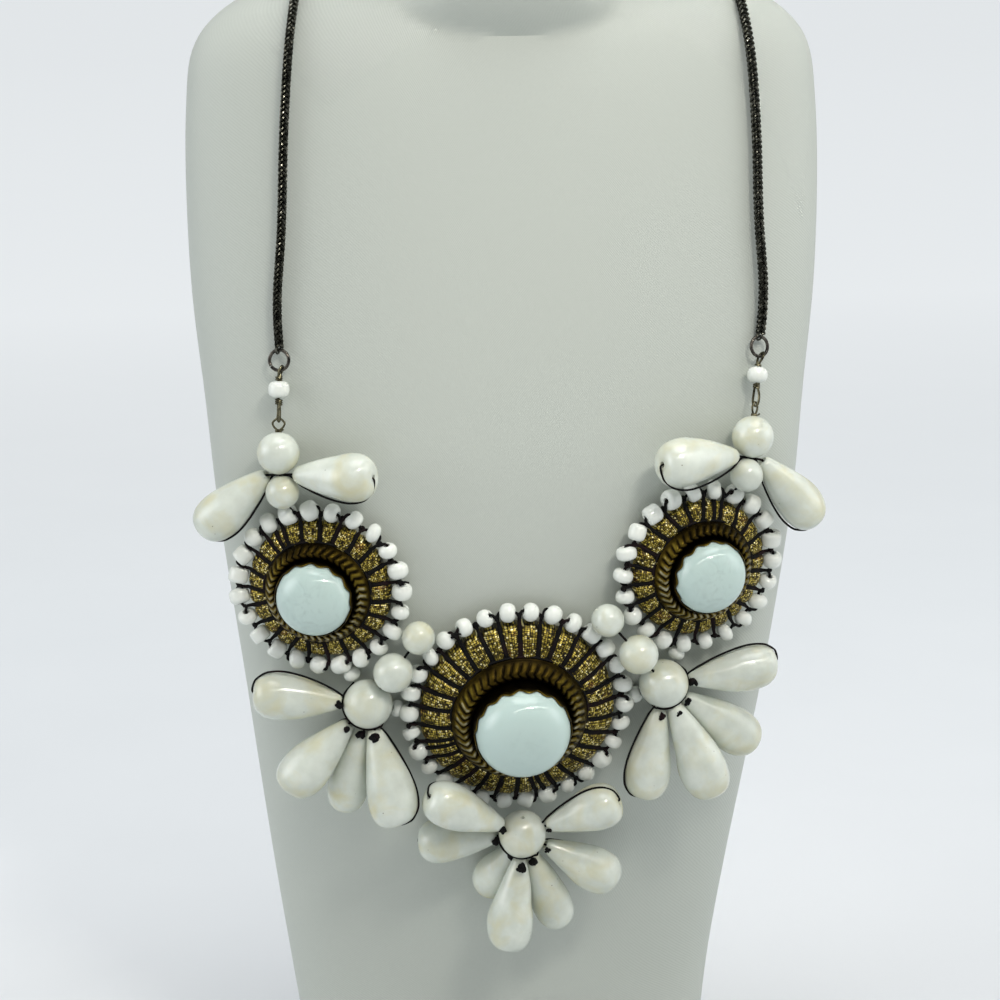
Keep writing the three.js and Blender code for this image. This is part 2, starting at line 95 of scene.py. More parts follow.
def lookAlong(axis, like=forward):
    # axes with Z along the given direction and X as near as it can be to like
    axis = unit(np.asarray(axis, float))
    x = unit(like - axis * (like @ axis))
    return np.array([x, np.cross(axis, x), axis])


def toWorld(place, points):
    return np.asarray(points) @ place[1] + place[0]


def toLocal(place, points):
    return (np.asarray(points) - place[0]) @ place[1].T


def placeMatrix(place):
    matrix = np.eye(4)
    matrix[:3, :3] = place[1].T
    matrix[:3, 3] = np.asarray(place[0]) * mm
    return Matrix(matrix.tolist())


def polar(radius, angle, height):
    return np.stack([radius * np.cos(angle), radius * np.sin(angle), height + 0 * angle], -1)


def around(count):
    # angles of a full circle
    return np.arange(count) * turn / count


def refine(rows, steps, closed=False):
    # smooth curve through the rows, with so many steps from one to the next
    p = np.asarray(rows, float)
    ends = [p[-1:], p, p[:2]] if closed else [2 * p[:1] - p[1:2], p, 2 * p[-1:] - p[-2:-1]]
    p = np.concatenate(ends)
    a, b, c, d = p[:-3], p[1:-2], p[2:-1], p[3:]
    between = [b + 0.5 * ((c - a) * t + (2 * a - 5 * b + 4 * c - d) * t**2 + (3 * b - a - 3 * c + d) * t**3)
               for t in np.arange(steps) / steps]
    smooth = np.stack(between, 1).reshape(-1, *p.shape[1:])
    return smooth if closed else np.concatenate([smooth, p[-2:-1]])


def evenly(line, step, closed=False):
    # the line again, with points one step apart
    line = np.concatenate([line, line[:1]]) if closed else np.asarray(line)
    run = np.concatenate([[0], np.cumsum(np.linalg.norm(np.diff(line, axis=0), axis=1))])
    marks = np.linspace(0, run[-1], max(3, round(run[-1] / step)) + 1)
    spaced = np.column_stack([np.interp(marks, run, line[:, i]) for i in range(line.shape[1])])
    return spaced[:-1] if closed else spaced


def frames(line, closed=False, start=upward):
    # tangent and two side directions at each point, turned as little as possible from one to the next
    ahead = np.roll(line, -1, 0) - np.roll(line, 1, 0)
    if not closed:
        ahead[0], ahead[-1] = line[1] - line[0], line[-1] - line[-2]
    ahead /= np.linalg.norm(ahead, axis=1)[:, None]
    side = np.array(start, float)
    if abs(unit(side) @ ahead[0]) > 0.95:  # the start lies along the line, so another is taken
        side = np.array([1.0, 0.3, 0.1])
    across = []
    for t in ahead:
        side = unit(side - t * (side @ t))
        across.append(side)
    across = np.array(across)
    if closed:  # the turn left over at the join is spread along the ring
        last = unit(across[-1] - ahead[0] * (across[-1] @ ahead[0]))
        left = np.arctan2(np.cross(last, across[0]) @ ahead[0], last @ across[0])
        twist = (np.arange(len(line)) / len(line) * left)[:, None]
        across = across * np.cos(twist) + np.cross(ahead, across) * np.sin(twist)
    return ahead, across, np.cross(ahead, across)


def skin(rows, looped=False, capped=False):
    # faces between rings of points; a ring of one point is a tip
    starts = np.cumsum([0] + [len(row) for row in rows])
    faces = []
    order = list(range(len(rows))) + ([0] if looped else [])
    for a, b in zip(order, order[1:]):
        na, nb = len(rows[a]), len(rows[b])
        for i in range(max(na, nb)):
            j = i + 1
            quad = [starts[a] + i % na, starts[a] + j % na, starts[b] + j % nb, starts[b] + i % nb]
            faces.append([int(k) for k in dict.fromkeys(quad)])
    if capped:
        faces.append([int(starts[0] + i) for i in range(len(rows[0]))][::-1])
        faces.append([int(starts[-2] + i) for i in range(len(rows[-1]))])
    return np.concatenate(rows), faces


def lathe(profile, sides, looped=False):
    # profile rows are (radius, height) round the local Z axis
    return skin([polar(r, around(sides), z) if r > 0 else np.array([[0, 0, z]]) for r, z in profile], looped)


def tube(line, radius, sides=6, closed=False, start=upward):
    # round wire or thread along a line
    _, one, two = frames(line, closed, start)
    a = around(sides)[:, None]
    rows = [p + radius * (np.cos(a) * u + np.sin(a) * v) for p, u, v in zip(line, one, two)]
    return skin(rows, closed, not closed)


def wireAlong(points, radius, closed=False, step=0.16, sides=8):
    line = evenly(refine(points, 8, closed), step, closed)
    return tube(line, radius, sides, closed)


def joined(shapes):
    points, faces, count = [], [], 0
    for spots, shapeFaces in shapes:
        points.append(spots)
        faces += [[i + count for i in face] for face in shapeFaces]
        count += len(spots)
    return np.concatenate(points), faces


def moved(shape, place):
    return toWorld(place, shape[0]), shape[1]


def addPiece(name, shape, material, replaced=(), place=None, relief=None, sharp=40):
    mesh = bpy.data.meshes.new(name)
    mesh.from_pydata((shape[0] * mm).tolist(), [], shape[1])
    build = bmesh.new()
    build.from_mesh(mesh)
    bmesh.ops.recalc_face_normals(build, faces=build.faces)
    build.to_mesh(mesh)
    build.free()
    mesh.polygons.foreach_set("use_smooth", [True] * len(mesh.polygons))
    mesh.set_sharp_from_angle(angle=radians(sharp))
    if relief is not None:  # height of the stamped pattern, 0 in its hollows, with painted shade in the recesses and at the ring's top and a painted highlight on the bezel's rubbed lip
        mesh.attributes.new("relief", "FLOAT", "POINT").data.foreach_set("value", relief.astype(np.float32))
    mesh.materials.append(material)
    obj = bpy.data.objects.new(name, mesh)
    scene.collection.objects.link(obj)
    if place is not None:
        obj.matrix_world = placeMatrix(place)
        bpy.context.view_layer.update()
    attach(obj, "root")
    if replaced:
        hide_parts(*replaced)
    return obj


# Material helpers


def linear(code):
    channels = [int(code[i:i + 2], 16) / 255 for i in (1, 3, 5)]
    return [c / 12.92 if c <= 0.04045 else ((c + 0.055) / 1.055) ** 2.4 for c in channels] + [1]


def addNode(tree, kind, sockets=None, stops=(), **settings):
    # a socket takes a constant, a socket of another node, or a node, which stands for its first output in use
    node = tree.nodes.new("ShaderNode" + kind)
    for name, value in settings.items():
        setattr(node, name, value)
    for key, value in (sockets or {}).items():
        socket = node.inputs[key] if isinstance(key, int) else next(
            own for own in node.inputs if own.enabled and own.name == key)
        if isinstance(value, bpy.types.Node):
            value = next(output for output in value.outputs if output.enabled)
        if isinstance(value, bpy.types.NodeSocket):
            tree.links.new(value, socket)
        else:
            socket.default_value = value
    for i, (at, colour) in enumerate(stops):
        stop = node.color_ramp.elements[i] if i < 2 else node.color_ramp.elements.new(at)
        stop.position, stop.color = at, linear(colour)
    return node


def newMaterial(name):
    # the material, its nodes and the place on the object that its patterns start from
    material = bpy.data.materials.new(name)
    material.use_nodes = True
    tree = material.node_tree
    tree.nodes.clear()
    return material, tree, addNode(tree, "TexCoord").outputs["Object"]


def shaded(material, sockets):
    tree = material.node_tree
    shader = addNode(tree, "BsdfPrincipled", sockets)
    addNode(tree, "OutputMaterial", {"Surface": shader})
    return material


# Camera, where the photograph was taken from

photoCamera = {"distance": 560, "pitch": 14, "turn": -7, "roll": 0.5, "target": (-5, -31, 170), "lens": 84,
               "sensor": 36, "near": 10, "far": 100000}


def addCamera(look):
    pitch, side, roll = (radians(look[key]) for key in ("pitch", "turn", "roll"))
    back = np.array([sin(side) * cos(pitch), -cos(side) * cos(pitch), sin(pitch)])
    right = np.array([cos(side), sin(side), 0])
    up = np.cross(back, right)
    right, up = right * cos(roll) - up * sin(roll), up * cos(roll) + right * sin(roll)
    data = bpy.data.cameras.new("photoCamera")
    data.lens, data.sensor_width = look["lens"], look["sensor"]
    data.clip_start, data.clip_end = look["near"] * mm, look["far"] * mm
    obj = bpy.data.objects.new("photoCamera", data)
    obj.matrix_world = placeMatrix((look["target"] + back * look["distance"], np.array([right, up, back])))
    scene.collection.objects.link(obj)
    scene.camera = obj


addCamera(photoCamera)

# Light: sky, lamps beside and above, and the lit top of the light tent

sky = {"colour": "#f4f6f9", "strength": 0.36}
lamps = {  # aim is the spot that each lamp looks at, beam how wide it throws, in degrees
    "softbox": {"at": (180, -540, 690), "aim": (0, -30, 200), "size": (150, 90), "beam": 26, "watts": 0.045,
                "colour": "#fffaf2"},
    "window": {"at": (230, -520, 700), "aim": (0, -30, 200), "size": (1300, 60), "beam": 110, "watts": 0.97,
               "colour": "#fffaf2"},
    "wallLeft": {"at": (-860, -160, 500), "aim": (0, -30, 250), "size": (1100, 1000), "beam": 60, "watts": 1.35,
                 "colour": "#fafcff"},
    "wallRight": {"at": (860, -160, 500), "aim": (0, -30, 250), "size": (1100, 1000), "beam": 60, "watts": 0.8,
                  "colour": "#fafcff"},
}
ceiling = {"at": (0, 0, 900), "from": (0.1, 0.0, 0.97), "strength": 1.9, "spread": 50, "colour": "#fbfcfd"}


def hangLamp(name, data, at, away):
    obj = bpy.data.objects.new(name, data)
    obj.matrix_world = placeMatrix((at, facing(unit(np.array(away, float)))))
    obj.visible_camera = False
    scene.collection.objects.link(obj)


def addLight():
    world = bpy.data.worlds.new("studio")
    scene.world = world
    world.use_nodes = True
    background = world.node_tree.nodes["Background"]
    background.inputs["Color"].default_value = linear(sky["colour"])
    background.inputs["Strength"].default_value = sky["strength"]
    for name, lamp in lamps.items():
        data = bpy.data.lights.new(name, "AREA")
        data.shape, data.energy, data.color = "RECTANGLE", lamp["watts"], linear(lamp["colour"])[:3]
        data.size, data.size_y = lamp["size"][0] * mm, lamp["size"][1] * mm
        data.spread = radians(lamp["beam"])
        hangLamp(name, data, lamp["at"], np.array(lamp["at"]) - lamp["aim"])
    top = bpy.data.lights.new("ceiling", "SUN")
    top.energy, top.angle, top.color = ceiling["strength"], radians(ceiling["spread"]), linear(ceiling["colour"])[:3]
    hangLamp("ceiling", top, ceiling["at"], ceiling["from"])
    scene.view_settings.view_transform = "Standard"


addLight()

# Floor: a wide roll of paper, its colour darkened near the bust as painted shade and paler to the back

# colour by distance behind the bust in millimetres: painted shade, darkest near the bust
paper = {"half": 30000, "shadeGrade": [(50, "#d2d5d7"), (450, "#d9dddf"), (1300, "#f1f4f5"), (4800, "#eef1f2")]}


def mattPaper():
    # Matt background paper: fine fibres and no gloss, under a slow gradient of painted shade that is darker near the
    # bust
    material, tree, place = newMaterial("mattPaper")
    depth = addNode(tree, "SeparateXYZ", {0: place}).outputs["Y"]
    far = paper["shadeGrade"][-1][0]
    share = addNode(tree, "MapRange", {"Value": depth, "From Max": far * mm})
    shadeGrade = addNode(tree, "ValToRGB", {0: share}, [(at / far, colour) for at, colour in paper["shadeGrade"]])
    grain = addNode(tree, "TexNoise", {"Scale": 900.0, "Detail": 3.0})
    fibre = addNode(tree, "MapRange", {"Value": grain, "To Max": 0.12})
    tint = addNode(tree, "Mix", {"Factor": fibre, "A": shadeGrade, "B": linear("#f4f7f8")}, data_type="RGBA")
    return shaded(material, {"Base Color": tint, "Roughness": 0.95, "Specular IOR Level": 0.2})


def addFloor():
    half = paper["half"] * mm
    mesh = bpy.data.meshes.new("paperFloor")
    mesh.from_pydata([(-half, -half, 0), (half, -half, 0), (half, half, 0), (-half, half, 0)], [], [[0, 1, 2, 3]])
    mesh.materials.append(mattPaper())
    floor = bpy.data.objects.new("paperFloor", mesh)
    scene.collection.objects.link(floor)


addFloor()
print("camera, light and floor made")

# Neck bust: leatherette glued over a form

bustLook = {"around": 5, "rise": 6, "baseEdge": 2.0, "neckEdge": 5.0, "capMiddle": 8, "grain": 0.5, "girth": 62}
neckFoot = {  # fold where the neck stands on the chest
    "low": 279, "rise": 8, "half": 31, "fade": 38, "front": -8, "lean": 0.8, "climb": 11, "upright": 295, "end": 357,
}


def puLeatherette():
    # Polyurethane leatherette, embossed on a roller: fine slanted lines and a soft half gloss
    material, tree, place = newMaterial("puLeatherette")
    split = addNode(tree, "SeparateXYZ", {0: place})
    front = addNode(tree, "Math", {0: split.outputs["Y"], 1: -1.0}, operation="MULTIPLY")
    bearing = addNode(tree, "Math", {0: split.outputs["X"], 1: front}, operation="ARCTAN2")
    # the lines go down to the right at 45 degrees, so they count along girth + height
    slant = addNode(tree, "Math", {0: bearing, 1: bustLook["girth"] * mm, 2: split.outputs["Z"]},
                    operation="MULTIPLY_ADD")
    along = addNode(tree, "CombineXYZ", {0: slant, 1: split.outputs["Z"]})
    ownLine = turn / 20  # width of a Wave node's line at scale 1
    lines = addNode(tree, "TexWave", {"Vector": along, "Scale": ownLine / (bustLook["grain"] * mm * 2**0.5),
                                      "Distortion": 3.2, "Detail": 2.0, "Detail Scale": 0.6}, bands_direction="X")
    grit = addNode(tree, "TexNoise", {"Vector": place, "Scale": 1 / (0.7 * mm), "Detail": 4.0})
    cloud = addNode(tree, "TexNoise", {"Vector": place, "Scale": 1 / (45 * mm), "Detail": 2.0})
    relief = addNode(tree, "Mix", {"Factor": 0.5, "A": lines.outputs["Fac"], "B": grit})
    tone = addNode(tree, "ValToRGB", {0: relief}, [(0.15, "#acb2aa"), (0.8, "#bcc2ba")])
    tint = addNode(tree, "Mix", {"Factor": cloud, "A": tone, "B": linear("#b5bab2")}, data_type="RGBA")
    bump = addNode(tree, "Bump", {"Strength": 0.4, "Distance": 0.07 * mm, "Height": relief})
    gloss = addNode(tree, "MapRange", {"Value": grit, "To Min": 0.48, "To Max": 0.62})
    return shaded(material, {"Base Color": tint, "Roughness": gloss, "IOR": 1.48, "Normal": bump})


def bustRows():
    # the CAD rings of the bust, made smooth both ways
    spots = cadSpots("neck_bust")
    rings = []
    for z in np.unique(spots[:, 2].round(1)):
        ring = spots[abs(spots[:, 2] - z) < 0.06]
        middle = (ring.min(0) + ring.max(0)) / 2
        away = ring - middle
        outer = np.linalg.norm(away[:, :2], axis=1) > bustLook["capMiddle"]  # not the middle of a flat end
        ring, away = ring[outer], away[outer]
        rings.append(ring[np.argsort(np.arctan2(away[:, 1], away[:, 0]))])
    tall = refine(np.stack(rings), bustLook["rise"])
    return refine(tall.swapaxes(0, 1), bustLook["around"], closed=True).swapaxes(0, 1)


def standNeck(rows):
    # the neck's front is upright, so it stands proud of the chest, which goes on sloping back beside it
    look = neckFoot
    for j in range(rows.shape[1]):
        x, y, z = rows[:, j].T
        atFoot = np.interp(look["low"], z, x)
        if np.interp(look["low"], z, y) > look["front"] or abs(atFoot) > look["fade"]:
            continue
        foot = look["low"] + look["rise"] * (atFoot / look["half"]) ** 2
        share = np.clip((look["fade"] - abs(atFoot)) / (look["fade"] - 0.6 * look["half"]), 0, 1)
        back = np.clip((look["end"] - z) / (look["end"] - look["upright"]), 0, 1)
        share = share * back**2 * (3 - 2 * back) * (z > foot)
        front = np.interp(foot, z, y) - look["lean"] * look["climb"] * np.tanh((z - foot) / look["climb"])
        rows[:, j, 1] = y + (front - y) * share
    return rows


def roundedEnd(rim, edge, inward):
    # rows that close an open end: a flat middle, then a rounded edge up to the rim
    middle = rim.mean(0)
    ways = (rim - middle) / np.linalg.norm(rim - middle, axis=1)[:, None]
    bend = [rim - ways * edge * (1 - sin(a)) + upward * inward * edge * (1 - cos(a))
            for a in np.linspace(0, pi / 2, 6)]
    return [middle[None], middle + (rim - middle) * 0.5] + bend[:-1]


def addBust():
    rows = standNeck(bustRows())
    heights = rows[:, 0, 2]
    base, neck = bustLook["baseEdge"], bustLook["neckEdge"]
    between = rows[(heights - heights[0] > base) & (heights[-1] - heights > neck)]
    foot, top = roundedEnd(rows[0], base, 1), roundedEnd(rows[-1], neck, -1)
    addPiece("bust_cover", skin(foot + list(between) + top[::-1]), puLeatherette(), ["neck_bust"])


addBust()
print("bust covered")

# Chain: foxtail links, each an oval of wire folded double, every second one turned by a quarter

chainLook = {"wire": 0.52, "pitch": 0.6, "half": 1.18, "narrow": 0.36, "fold": 0.62, "bends": 14, "sides": 5}
cadTubeSides = 8


def oxidisedBrass():
    # Brass blackened in a bath and rubbed: nearly black, with grey glints where it rubs
    material, tree, place = newMaterial("oxidisedBrass")
    wear = addNode(tree, "TexNoise", {"Vector": place, "Scale": 1 / (1.1 * mm), "Detail": 3.0})
    tint = addNode(tree, "ValToRGB", {0: wear}, [(0.3, "#0f100e"), (0.5, "#35362f"), (0.68, "#6c6b61")])
    rough = addNode(tree, "MapRange", {"Value": wear, "To Min": 0.36, "To Max": 0.2})
    return shaded(material, {"Base Color": tint, "Metallic": 1.0, "Roughness": rough})


def chainLine(node, near):
    # middle line of the CAD tube: its rings of corners, found one after the other
    corners, which = np.unique(cadPoints(node), axis=0, return_inverse=True)
    which = which.ravel()
    beside = [set() for _ in corners]
    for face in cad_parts[node].data.polygons:
        own = [which[i] for i in face.vertices]
        for a in own:
            beside[a].update(own)
    order = np.argsort(np.linalg.norm(corners - near, axis=1))
    ring, seen, line = set(order[:cadTubeSides].tolist()), set(), []
    while ring:
        line.append(corners[list(ring)].mean(0))
        seen |= ring
        ring = set().union(*(beside[i] for i in ring)) - seen
    return np.array(line)


def foxtail(line):
    look = chainLook
    line = evenly(refine(line, 6), look["pitch"])
    ahead, right, out = frames(line, start=(0, -1, 0.2))
    t = around(look["bends"])
    loop = np.column_stack([look["half"] * np.cos(t), look["narrow"] * np.sin(t), look["fold"] * np.cos(2 * t)])
    links = []
    for i, (p, a, u, v) in enumerate(zip(line, ahead, right, out)):
        one, two = (u + v) / 2**0.5, (v - u) / 2**0.5  # folded ends show at both sides of the front
        axes = np.array([one, two, -a] if i % 2 else [two, -one, -a])
        links.append(tube(loop @ axes + p, look["wire"] / 2, look["sides"], closed=True, start=u + v))
    return joined(links)


darkBrass = oxidisedBrass()
for side in bothSides:
    line = chainLine(f"chain_{side}", middleOf(f"jump_ring_{side}"))
    addPiece(f"foxtail_{side}", foxtail(line), darkBrass, [f"chain_{side}"])

# Clasp at the nape: turned barrel with a ribbed grip on each half

claspLook = {"hole": 1.6, "bored": 2.4, "grips": 5, "gripDepth": 0.25, "gripHalf": 2.2, "gripAt": 0.55, "sides": 40}


def addClasp():
    look = claspLook
    spots = cadSpots("clasp")
    low, high = spots.min(0), spots.max(0)
    half, r, hole = (high[0] - low[0]) / 2, (high[2] - low[2]) / 2, look["hole"]
    ridges = 2 * look["grips"]
    grip = [(r - look["gripDepth"] * (i % 2), half * look["gripAt"] + look["gripHalf"] * (2 * i / ridges - 1))
            for i in range(ridges + 1)]
    upper = [(r - 0.45, 0.15), (r - 0.1, 0.35), *grip, (r * 0.82, half - 0.25), (r * 0.72, half),
             (hole + 0.2, half), (hole, half - 0.2), (hole, half - look["bored"]), (0, half - look["bored"])]
    shape = lathe([(x, -y) for x, y in upper[::-1]] + upper, look["sides"])
    place = ((low + high) / 2, np.roll(np.eye(3), 1, axis=1))
    addPiece("barrel_clasp", shape, darkBrass, ["clasp"], place, sharp=30)


addClasp()
print("chain and clasp made")

# Rings and wires that join each chain to its top bead. Heights run up along the line from bead to ring.

ringLook = {"radius": 2.4, "wire": 0.8, "cut": 5, "cutAt": {"left": 215, "right": 250}, "sides": 14}
endLoop = {"above": 0.35, "tall": 1.25, "deep": 1.15, "lean": 0.25, "aside": -0.2, "radius": 0.24, "sides": 7}
wireLook = {"radius": 0.3, "coil": 0.24, "eye": 0.255, "tail": 0.21, "sides": 8, "coilSides": 7,
            "topTurns": (0.66, 0.5), "lowTurns": (0.68, 0.48), "eyeTurns": (0.62, 1.8)}  # radius, and pitch or count
hooks = {  # how far each hand-bent loop leans to the side, and its turns of wire
    "left": {"lean": 0.75, "topTurns": 2.0, "lowTurns": 3.0, "lowWidth": 0.5, "eye": (1.5, 0.45)},
    "right": {"lean": 1.1, "topTurns": 1.0, "lowTurns": 2.2, "lowWidth": 0.62, "eye": (0.75, 0.6)},
}
smallBead = {"bore": 0.68, "radius": 2.5, "power": {"left": 2.9, "right": 2.4}}


def gunmetal():
    # Steel-grey plated brass, tumbled: dark and smooth, with soft brownish highlights
    material, tree, place = newMaterial("gunmetalPlate")
    wear = addNode(tree, "TexNoise", {"Vector": place, "Scale": 1 / (1.6 * mm), "Detail": 3.0})
    tint = addNode(tree, "ValToRGB", {0: wear}, [(0.35, "#2c2b29"), (0.7, "#67625a")])
    scratches = addNode(tree, "Bump", {"Strength": 0.25, "Distance": 0.03 * mm, "Height": wear})
    return shaded(material, {"Base Color": tint, "Metallic": 1.0, "Roughness": 0.27, "Normal": scratches})


def antiqueBrassWire():
    # Drawn brass wire, browned with age: olive and darker in the turns
    material, tree, place = newMaterial("antiqueBrassWire")
    wear = addNode(tree, "TexNoise", {"Vector": place, "Scale": 1 / (1.3 * mm), "Detail": 3.0})
    tint = addNode(tree, "ValToRGB", {0: wear}, [(0.3, "#2e2c22"), (0.7, "#747059")])
    return shaded(material, {"Base Color": tint, "Metallic": 1.0, "Roughness": 0.32})


def milkyGlassBead():
    # Pressed opaque white glass: wet-looking gloss, faintly blue, a little light passes at the rim
    material, tree, place = newMaterial("milkyGlassBead")
    cloud = addNode(tree, "TexNoise", {"Vector": place, "Scale": 1 / (2.5 * mm), "Detail": 2.0})
    tint = addNode(tree, "Mix", {"Factor": cloud, "A": linear("#d2d7cf"), "B": linear("#e3e6df")}, data_type="RGBA")
    waves = addNode(tree, "Bump", {"Strength": 0.2, "Distance": 0.05 * mm, "Height": cloud})
    return shaded(material, {
        "Base Color": tint, "Roughness": 0.16, "IOR": 1.52, "Normal": waves,
        "Subsurface Weight": 0.12, "Subsurface Radius": (0.9, 1.0, 1.1), "Subsurface Scale": 0.8 * mm})


def coil(low, high, radius, turns, start=0.0):
    # the thinner turns of wire round a pin
    a = np.linspace(0, turns * turn, int(turns * 14) + 1)
    line = np.column_stack([radius * np.cos(a + start), np.linspace(low, high, len(a)), radius * np.sin(a + start)])
    return tube(line, wireLook["coil"], wireLook["coilSides"])


def pin(low, high):
    return tube(np.array([(0, y, 0) for y in np.linspace(low, high, 6)]), wireLook["radius"], wireLook["sides"])


def ringBead(bore, radius, half, sides=36, power=2.3):
    # drilled bead, its hole along local Z: the power sets how square its outline is
    end = np.arccos((1.3 * bore / radius) ** (power / 2))
    a = np.linspace(-end, end, 22)
    across = radius * np.cos(a) ** (2 / power)
    up = half * np.sign(np.sin(a)) * abs(np.sin(a)) ** (2 / power)
    inside = [(bore, up[-1] - 0.1), (bore * 0.9, up[-1] - 0.5), (bore * 0.9, 0.5 - up[-1]), (bore, 0.1 - up[-1])]
    return lathe(list(zip(across, up)) + inside, sides, looped=True)


def hardwarePlace(side):
    middle, ring = middleOf(f"top_bead_{side}"), cadSpots(f"jump_ring_{side}")
    up = unit(ring.mean(0) - middle)
    out = fitted(mainAxes(ring)[2], forward)
    out = unit(out - up * (out @ up))
    return middle, np.array([np.cross(up, out), up, out])


def spanOf(node, place):
    up = toLocal(place, cadSpots(node))[:, 1]
    return up.min(), up.max()


def ringShapes(middle, cutAt):
    # jump ring with its cut, and the last loop of the chain in it
    cut, at = radians(ringLook["cut"] / 2), radians(cutAt)
    circle = polar(ringLook["radius"], np.linspace(at + cut, at + turn - cut, 60), 0) + [0, middle, 0]
    ring = tube(circle, ringLook["wire"] / 2, ringLook["sides"])
    look, t = endLoop, around(24)
    loopUp = middle + ringLook["radius"] + look["above"]
    line = np.column_stack([look["lean"] * np.sin(t) + look["aside"], loopUp + look["tall"] * np.sin(t),
                            look["deep"] * np.cos(t)])
    return ring, tube(line, look["radius"], look["sides"], closed=True)


def linkShape(look, low, high, foot, top):
    # hook round the jump ring, turns above and below the small bead, long loop through the eye
    r, s, w = wireLook["radius"], look["lean"], look["lowWidth"]
    wrapTop, reach, end = top + 0.2, high - r, low + r
    bend, lowMid = (wrapTop + reach) / 2, (end + foot - 1.0) / 2
    hook = [(-0.1, wrapTop, 0), (0.05 * s, wrapTop + 0.7, 0.45), (0.5 * s, bend + 0.4, 0.95),
            (s, reach - 0.25, 0.62), (1.1 * s, reach, 0.0), (0.95 * s, reach - 0.3, -0.62),
            (0.45 * s, bend + 0.3, -0.85), (0.0, wrapTop + 0.75, -0.4), (0.1, wrapTop, 0)]
    longLoop = [(0.12, foot - 0.2, 0.1), (0.2, foot - 1.0, 0.28), (w, lowMid + 0.4, 0.5), (w * 0.9, end + 0.7, 0.42),
                (0.1, end, 0.1), (-w * 0.75, end + 0.75, -0.3), (-w * 0.6, lowMid + 0.2, -0.42),
                (-0.25, foot - 1.0, -0.3), (-0.1, foot - 0.2, -0.1)]
    (upWide, upPitch), (lowWide, lowPitch) = wireLook["topTurns"], wireLook["lowTurns"]
    upTurns, downTurns = look["topTurns"], look["lowTurns"]
    return joined([wireAlong(hook, r), wireAlong(longLoop, r), pin(foot - 0.5, top + 0.4),
                   coil(top + 0.12, top + 0.12 + upPitch * upTurns, upWide, upTurns),
                   coil(foot - 0.2, foot - 0.2 - lowPitch * downTurns, lowWide, downTurns, 1.0)])


def eyeShape(look, beadTop, eyeTop):
    # bent loop with its flattened turns on the bead, and the wire's end that stands off
    wide, lift = look["eye"]
    base, bend = beadTop + 0.35, (beadTop + 0.35 + eyeTop) / 2 + 0.1
    eye = [(0.15, base, 0.1), (wide * 0.75, base + 0.8, 0.05), (wide, bend, 0), (wide * lift, eyeTop - 0.75, 0),
           (0, eyeTop - wireLook["radius"], 0), (-wide * lift, eyeTop - 0.75, 0), (-wide, bend, 0),
           (-wide * 0.75, base + 0.8, -0.05), (-0.15, base, -0.1)]
    tail = [(0.5, base - 0.05, 0.45), (1.0, base + 0.05, 0.3), (1.35, base + 0.35, 0.2)]
    return joined([wireAlong(eye, wireLook["eye"]), coil(beadTop - 0.02, beadTop + 0.5, *wireLook["eyeTurns"]),
                   wireAlong(tail, wireLook["tail"]), pin(beadTop - 4, base + 0.1)])


def addHardware(side, wire, plated, glass):
    place, look = hardwarePlace(side), hooks[side]
    foot, top = spanOf(f"link_bead_{side}", place)
    ring, loop = ringShapes(np.mean(spanOf(f"jump_ring_{side}", place)), ringLook["cutAt"][side])
    link = linkShape(look, *spanOf(f"link_wire_{side}", place), foot, top)
    eye = eyeShape(look, spanOf(f"top_bead_{side}", place)[1], spanOf(f"eye_wire_{side}", place)[1])
    for name, shape, material, covers in (
            ("cut_ring", ring, plated, ["jump_ring"]), ("end_loop", loop, darkBrass, []),
            ("wrapped_link", link, wire, ["link_wire"]), ("bent_eye", eye, wire, ["eye_wire"])):
        addPiece(f"{name}_{side}", moved(shape, place), material, [f"{node}_{side}" for node in covers])
    bead = ringBead(smallBead["bore"], smallBead["radius"], (top - foot) / 2, power=smallBead["power"][side])
    beadPlace = toWorld(place, (0, (foot + top) / 2, 0)), lookAlong(place[1][1])
    addPiece(f"glass_bead_{side}", bead, glass, [f"link_bead_{side}"], beadPlace)


glassWhite = milkyGlassBead()
brassWire, platedBrass = antiqueBrassWire(), gunmetal()
for side in bothSides:
    addHardware(side, brassWire, platedBrass, glassWhite)
print("rings and wires made")

# Stone beads and drops

stoneLook = {"bore": 0.5, "lumps": 0.012, "sides": 48}
dropLook = {"bore": 0.09, "lumps": 0.028, "bend": 0.35, "sides": 44}
dropProfile = [  # share of the radius, share of the length from the tip
    (0.2, 0.0), (0.32, 0.03), (0.45, 0.12), (0.59, 0.23), (0.74, 0.36), (0.88, 0.5), (0.975, 0.63), (1.0, 0.74),
    (0.95, 0.85), (0.81, 0.93), (0.6, 0.98), (0.34, 1.0), (0.14, 0.995),
]
boredToward = {  # what a bead's thread hole points at
    "top_bead": "jump_ring", "small_bead_top": "top_bead", "small_bead": "join_bead", "join_bead": "small_bead",
    "hub_bead": "join_bead",
}


